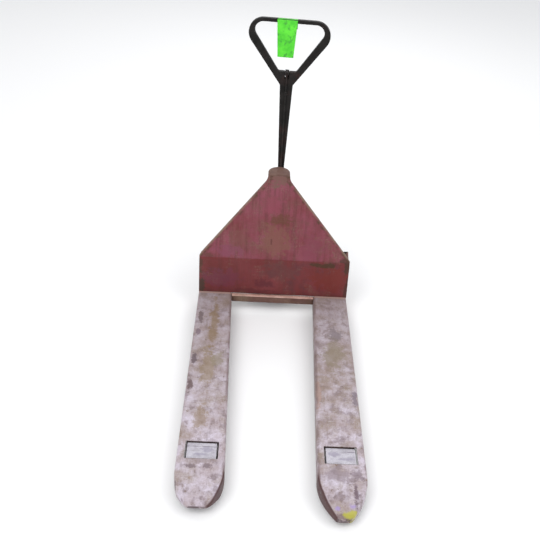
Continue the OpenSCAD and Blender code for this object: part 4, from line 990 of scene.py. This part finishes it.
# A thin line of painted shade marks the crease that crosses the cover behind the roller's axle
yoke_tree = roller_steel.node_tree
yoke_place = yoke_tree.nodes.new("ShaderNodeTexCoord").outputs["Object"]
yoke_y = parts_of(yoke_tree, yoke_place)[1]
crease_y = window_y + 0.017
crease_half, crease_core = 0.0026, 0.0012
crease_shade = maths(
    yoke_tree,
    "MULTIPLY",
    ramp(yoke_tree, yoke_y, crease_y - crease_half, crease_y - crease_core),
    ramp(yoke_tree, yoke_y, crease_y + crease_half, crease_y + crease_core),
)
crease_shade_gate = ramp(yoke_tree, cloud(yoke_tree, yoke_place, 26.0, 4.0), 0.40, 0.52)
crease_shade = maths(yoke_tree, "MULTIPLY", crease_shade, crease_shade_gate)
marked(roller_steel, crease_shade, (0.17, 0.14, 0.18), 0.8)
cover_grey = (0.33, 0.30, 0.38)
cover_patches = (
    ((-0.262, window_y - 0.020, 0.083), (0.030, 0.006, 0.02), cover_grey, 0.7),
    ((-0.235, window_y + 0.004, 0.083), (0.030, 0.014, 0.02), cover_grey, 0.7),
    ((0.232, window_y + 0.004, 0.083), (0.020, 0.014, 0.02), cover_grey, 0.7),
    ((0.275, window_y - 0.018, 0.083), (0.030, 0.009, 0.02), cover_grey, 0.7),
)
blotted(roller_steel, cover_patches)

for side in ("left", "right"):
    eased("load_yoke_" + side, 0.001, roller_steel)
    eased("load_roller_" + side, 0.001, roller_steel)
    eased("push_rod_" + side, 0.0015, worn_rust)
for rocker_piece in ("rocker_tube", "rocker_rear_arms", "rocker_push_arms"):
    eased(rocker_piece, 0.0015, worn_rust)

# ---- Handle ----
# One forging: a tapered shaft that opens into a rounded triangular loop. Near-black and handled
# smooth, with brown wear on the loop.
dark_iron = painted(
    "dark_iron",
    gloss=0.14,
    bump=0.0005,
    radius=0.006,
    Paint=(0.0080, 0.0082, 0.0074),
    Faded=(0.0210, 0.0185, 0.0175),
    Dull=(0.0040, 0.0038, 0.0034),
    Stain=(0.045, 0.018, 0.014),
    Rust=(0.006, 0.005, 0.004),
    Bare=(0.075, 0.066, 0.066),
    Blotch=14.0,
    Streak=(1.0, 1.0, 0.15),
    Streaks=0.5,
    Stained=0.5,
    Rusted=0.3,
    Scratched=0.4,
)
forging_grain = 0.0022
forging = copied("handle", "handle_forging")
modify(forging, "REMESH", mode="VOXEL", voxel_size=forging_grain)
modify(forging, "SMOOTH", factor=0.5, iterations=14)
forging.data.materials.clear()
forging.data.materials.append(dark_iron)
only(forging)
bpy.ops.object.shade_smooth()
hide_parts("handle")
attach(forging, "handle")
eased("release_lever", 0.0015, dark_iron)
eased("rod_guides", 0.001, dark_iron)

# ---- Card tag ----
# A neon green card strip folded over the grip bar. It hangs lower in front, curls a little, and
# carries only smudges of green marker.
tag_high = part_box("price_tag")[1]
steer_turn = math.radians(5)
tag_front_l = 0.154
tag_back_l = 0.040
tag_thickness = 0.0007
tag_fold = 0.0128
tag_crown = 0.004
tag_curl = 0.004
tag_ripple = 0.0018
tag_top_w, tag_bottom_w = 0.084, 0.067
tag_middle = -0.011
pivot = next(joint for joint in frame["joints"] if joint["name"] == "handle_tilt")["pos_m"]

bpy.ops.mesh.primitive_grid_add(x_subdivisions=12, y_subdivisions=60, size=1)
tag = bpy.context.object
tag.name = "card_tag"
tag_shoulder_z = tag_high.z - 0.001 - tag_crown
tag_span = tag_front_l + 2 * tag_fold + tag_back_l
for vert in tag.data.vertices:
    across, along = vert.co.x, (0.5 - vert.co.y) * tag_span
    width = tag_top_w
    if along < tag_back_l:
        y, z = tag_fold, tag_shoulder_z - (tag_back_l - along)
    elif along < tag_back_l + 2 * tag_fold:
        turn = (along - tag_back_l) / (2 * tag_fold) * math.pi
        y, z = tag_fold * math.cos(turn), tag_shoulder_z + tag_crown * math.sin(turn)
    else:
        down = (along - tag_back_l - 2 * tag_fold) / tag_front_l
        width += (tag_bottom_w - tag_top_w) * down
        curl = tag_curl * math.sin(down * math.pi * 1.3)
        curl += tag_ripple * math.sin(9 * across + 5 * down)
        y = -tag_fold - max(0.0, curl) * min(1.0, down * 4)
        z = tag_shoulder_z - down * tag_front_l
    place = Vector((tag_middle + across * width, y, z))
    vert.co = Matrix.Rotation(-steer_turn, 3, "Z") @ place + Vector((pivot[0], pivot[1], 0))
modify(tag, "SOLIDIFY", thickness=tag_thickness, offset=0)

tag_card = bpy.data.materials.new("tag_card")
tag_card.use_nodes = True
tag_tree = tag_card.node_tree
tag_shader = tag_tree.nodes["Principled BSDF"]
tag_place = tag_tree.nodes.new("ShaderNodeTexCoord").outputs["Object"]
tag_green = mixed(
    tag_tree,
    ramp(tag_tree, cloud(tag_tree, tag_place, 30.0, 4.0), 0.35, 0.65),
    (0.055, 0.55, 0.016),
    (0.110, 0.74, 0.030),
)
tag_smudge = cloud(tag_tree, stretched(tag_tree, tag_place, (52.0, 10.0, 38.0)), 1.0, 2.0, 0.55)
tag_smudge = ramp(tag_tree, tag_smudge, 0.56, 0.66)
tag_smudge = maths(tag_tree, "MULTIPLY", tag_smudge, 0.72)
tag_green = mixed(tag_tree, tag_smudge, tag_green, (0.03, 0.22, 0.03))
tag_tree.links.new(tag_green, tag_shader.inputs["Base Color"])
tag_shader.inputs["Roughness"].default_value = 0.6
tag.data.materials.append(tag_card)
only(tag)
bpy.ops.object.shade_smooth()
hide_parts("price_tag")
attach(tag, "handle")

# ---- Pins, clips, rods and small parts ----
# Their CAD shapes stay, each in the finish of its material slot.
seal_rubber = painted(
    "seal_rubber",
    Paint=(0.012, 0.012, 0.012),
    Faded=(0.02, 0.02, 0.02),
    Dull=(0.012, 0.012, 0.012),
    Stain=(0.03, 0.026, 0.022),
    Rust=(0.01, 0.01, 0.01),
    Bare=(0.04, 0.04, 0.04),
    Rusted=0.2,
)
finishes = {
    "fork_paint": fork_paint,
    "frame_red": frame_red,
    "band_red": band_red,
    "worn_rust": worn_rust,
    "bare_steel": bare_steel,
    "polished_steel": polished_steel,
    "roller_steel": roller_steel,
    "pump_grey": pump_grey,
    "dark_iron": dark_iron,
    "tyre_rubber": tyre_rubber,
    "seal_rubber": seal_rubber,
    "tag_card": tag_card,
}
for node, cad_piece in nodes.items():
    for material_slot in cad_piece.material_slots:
        material_slot.material = finishes[slot_of_node[node]]
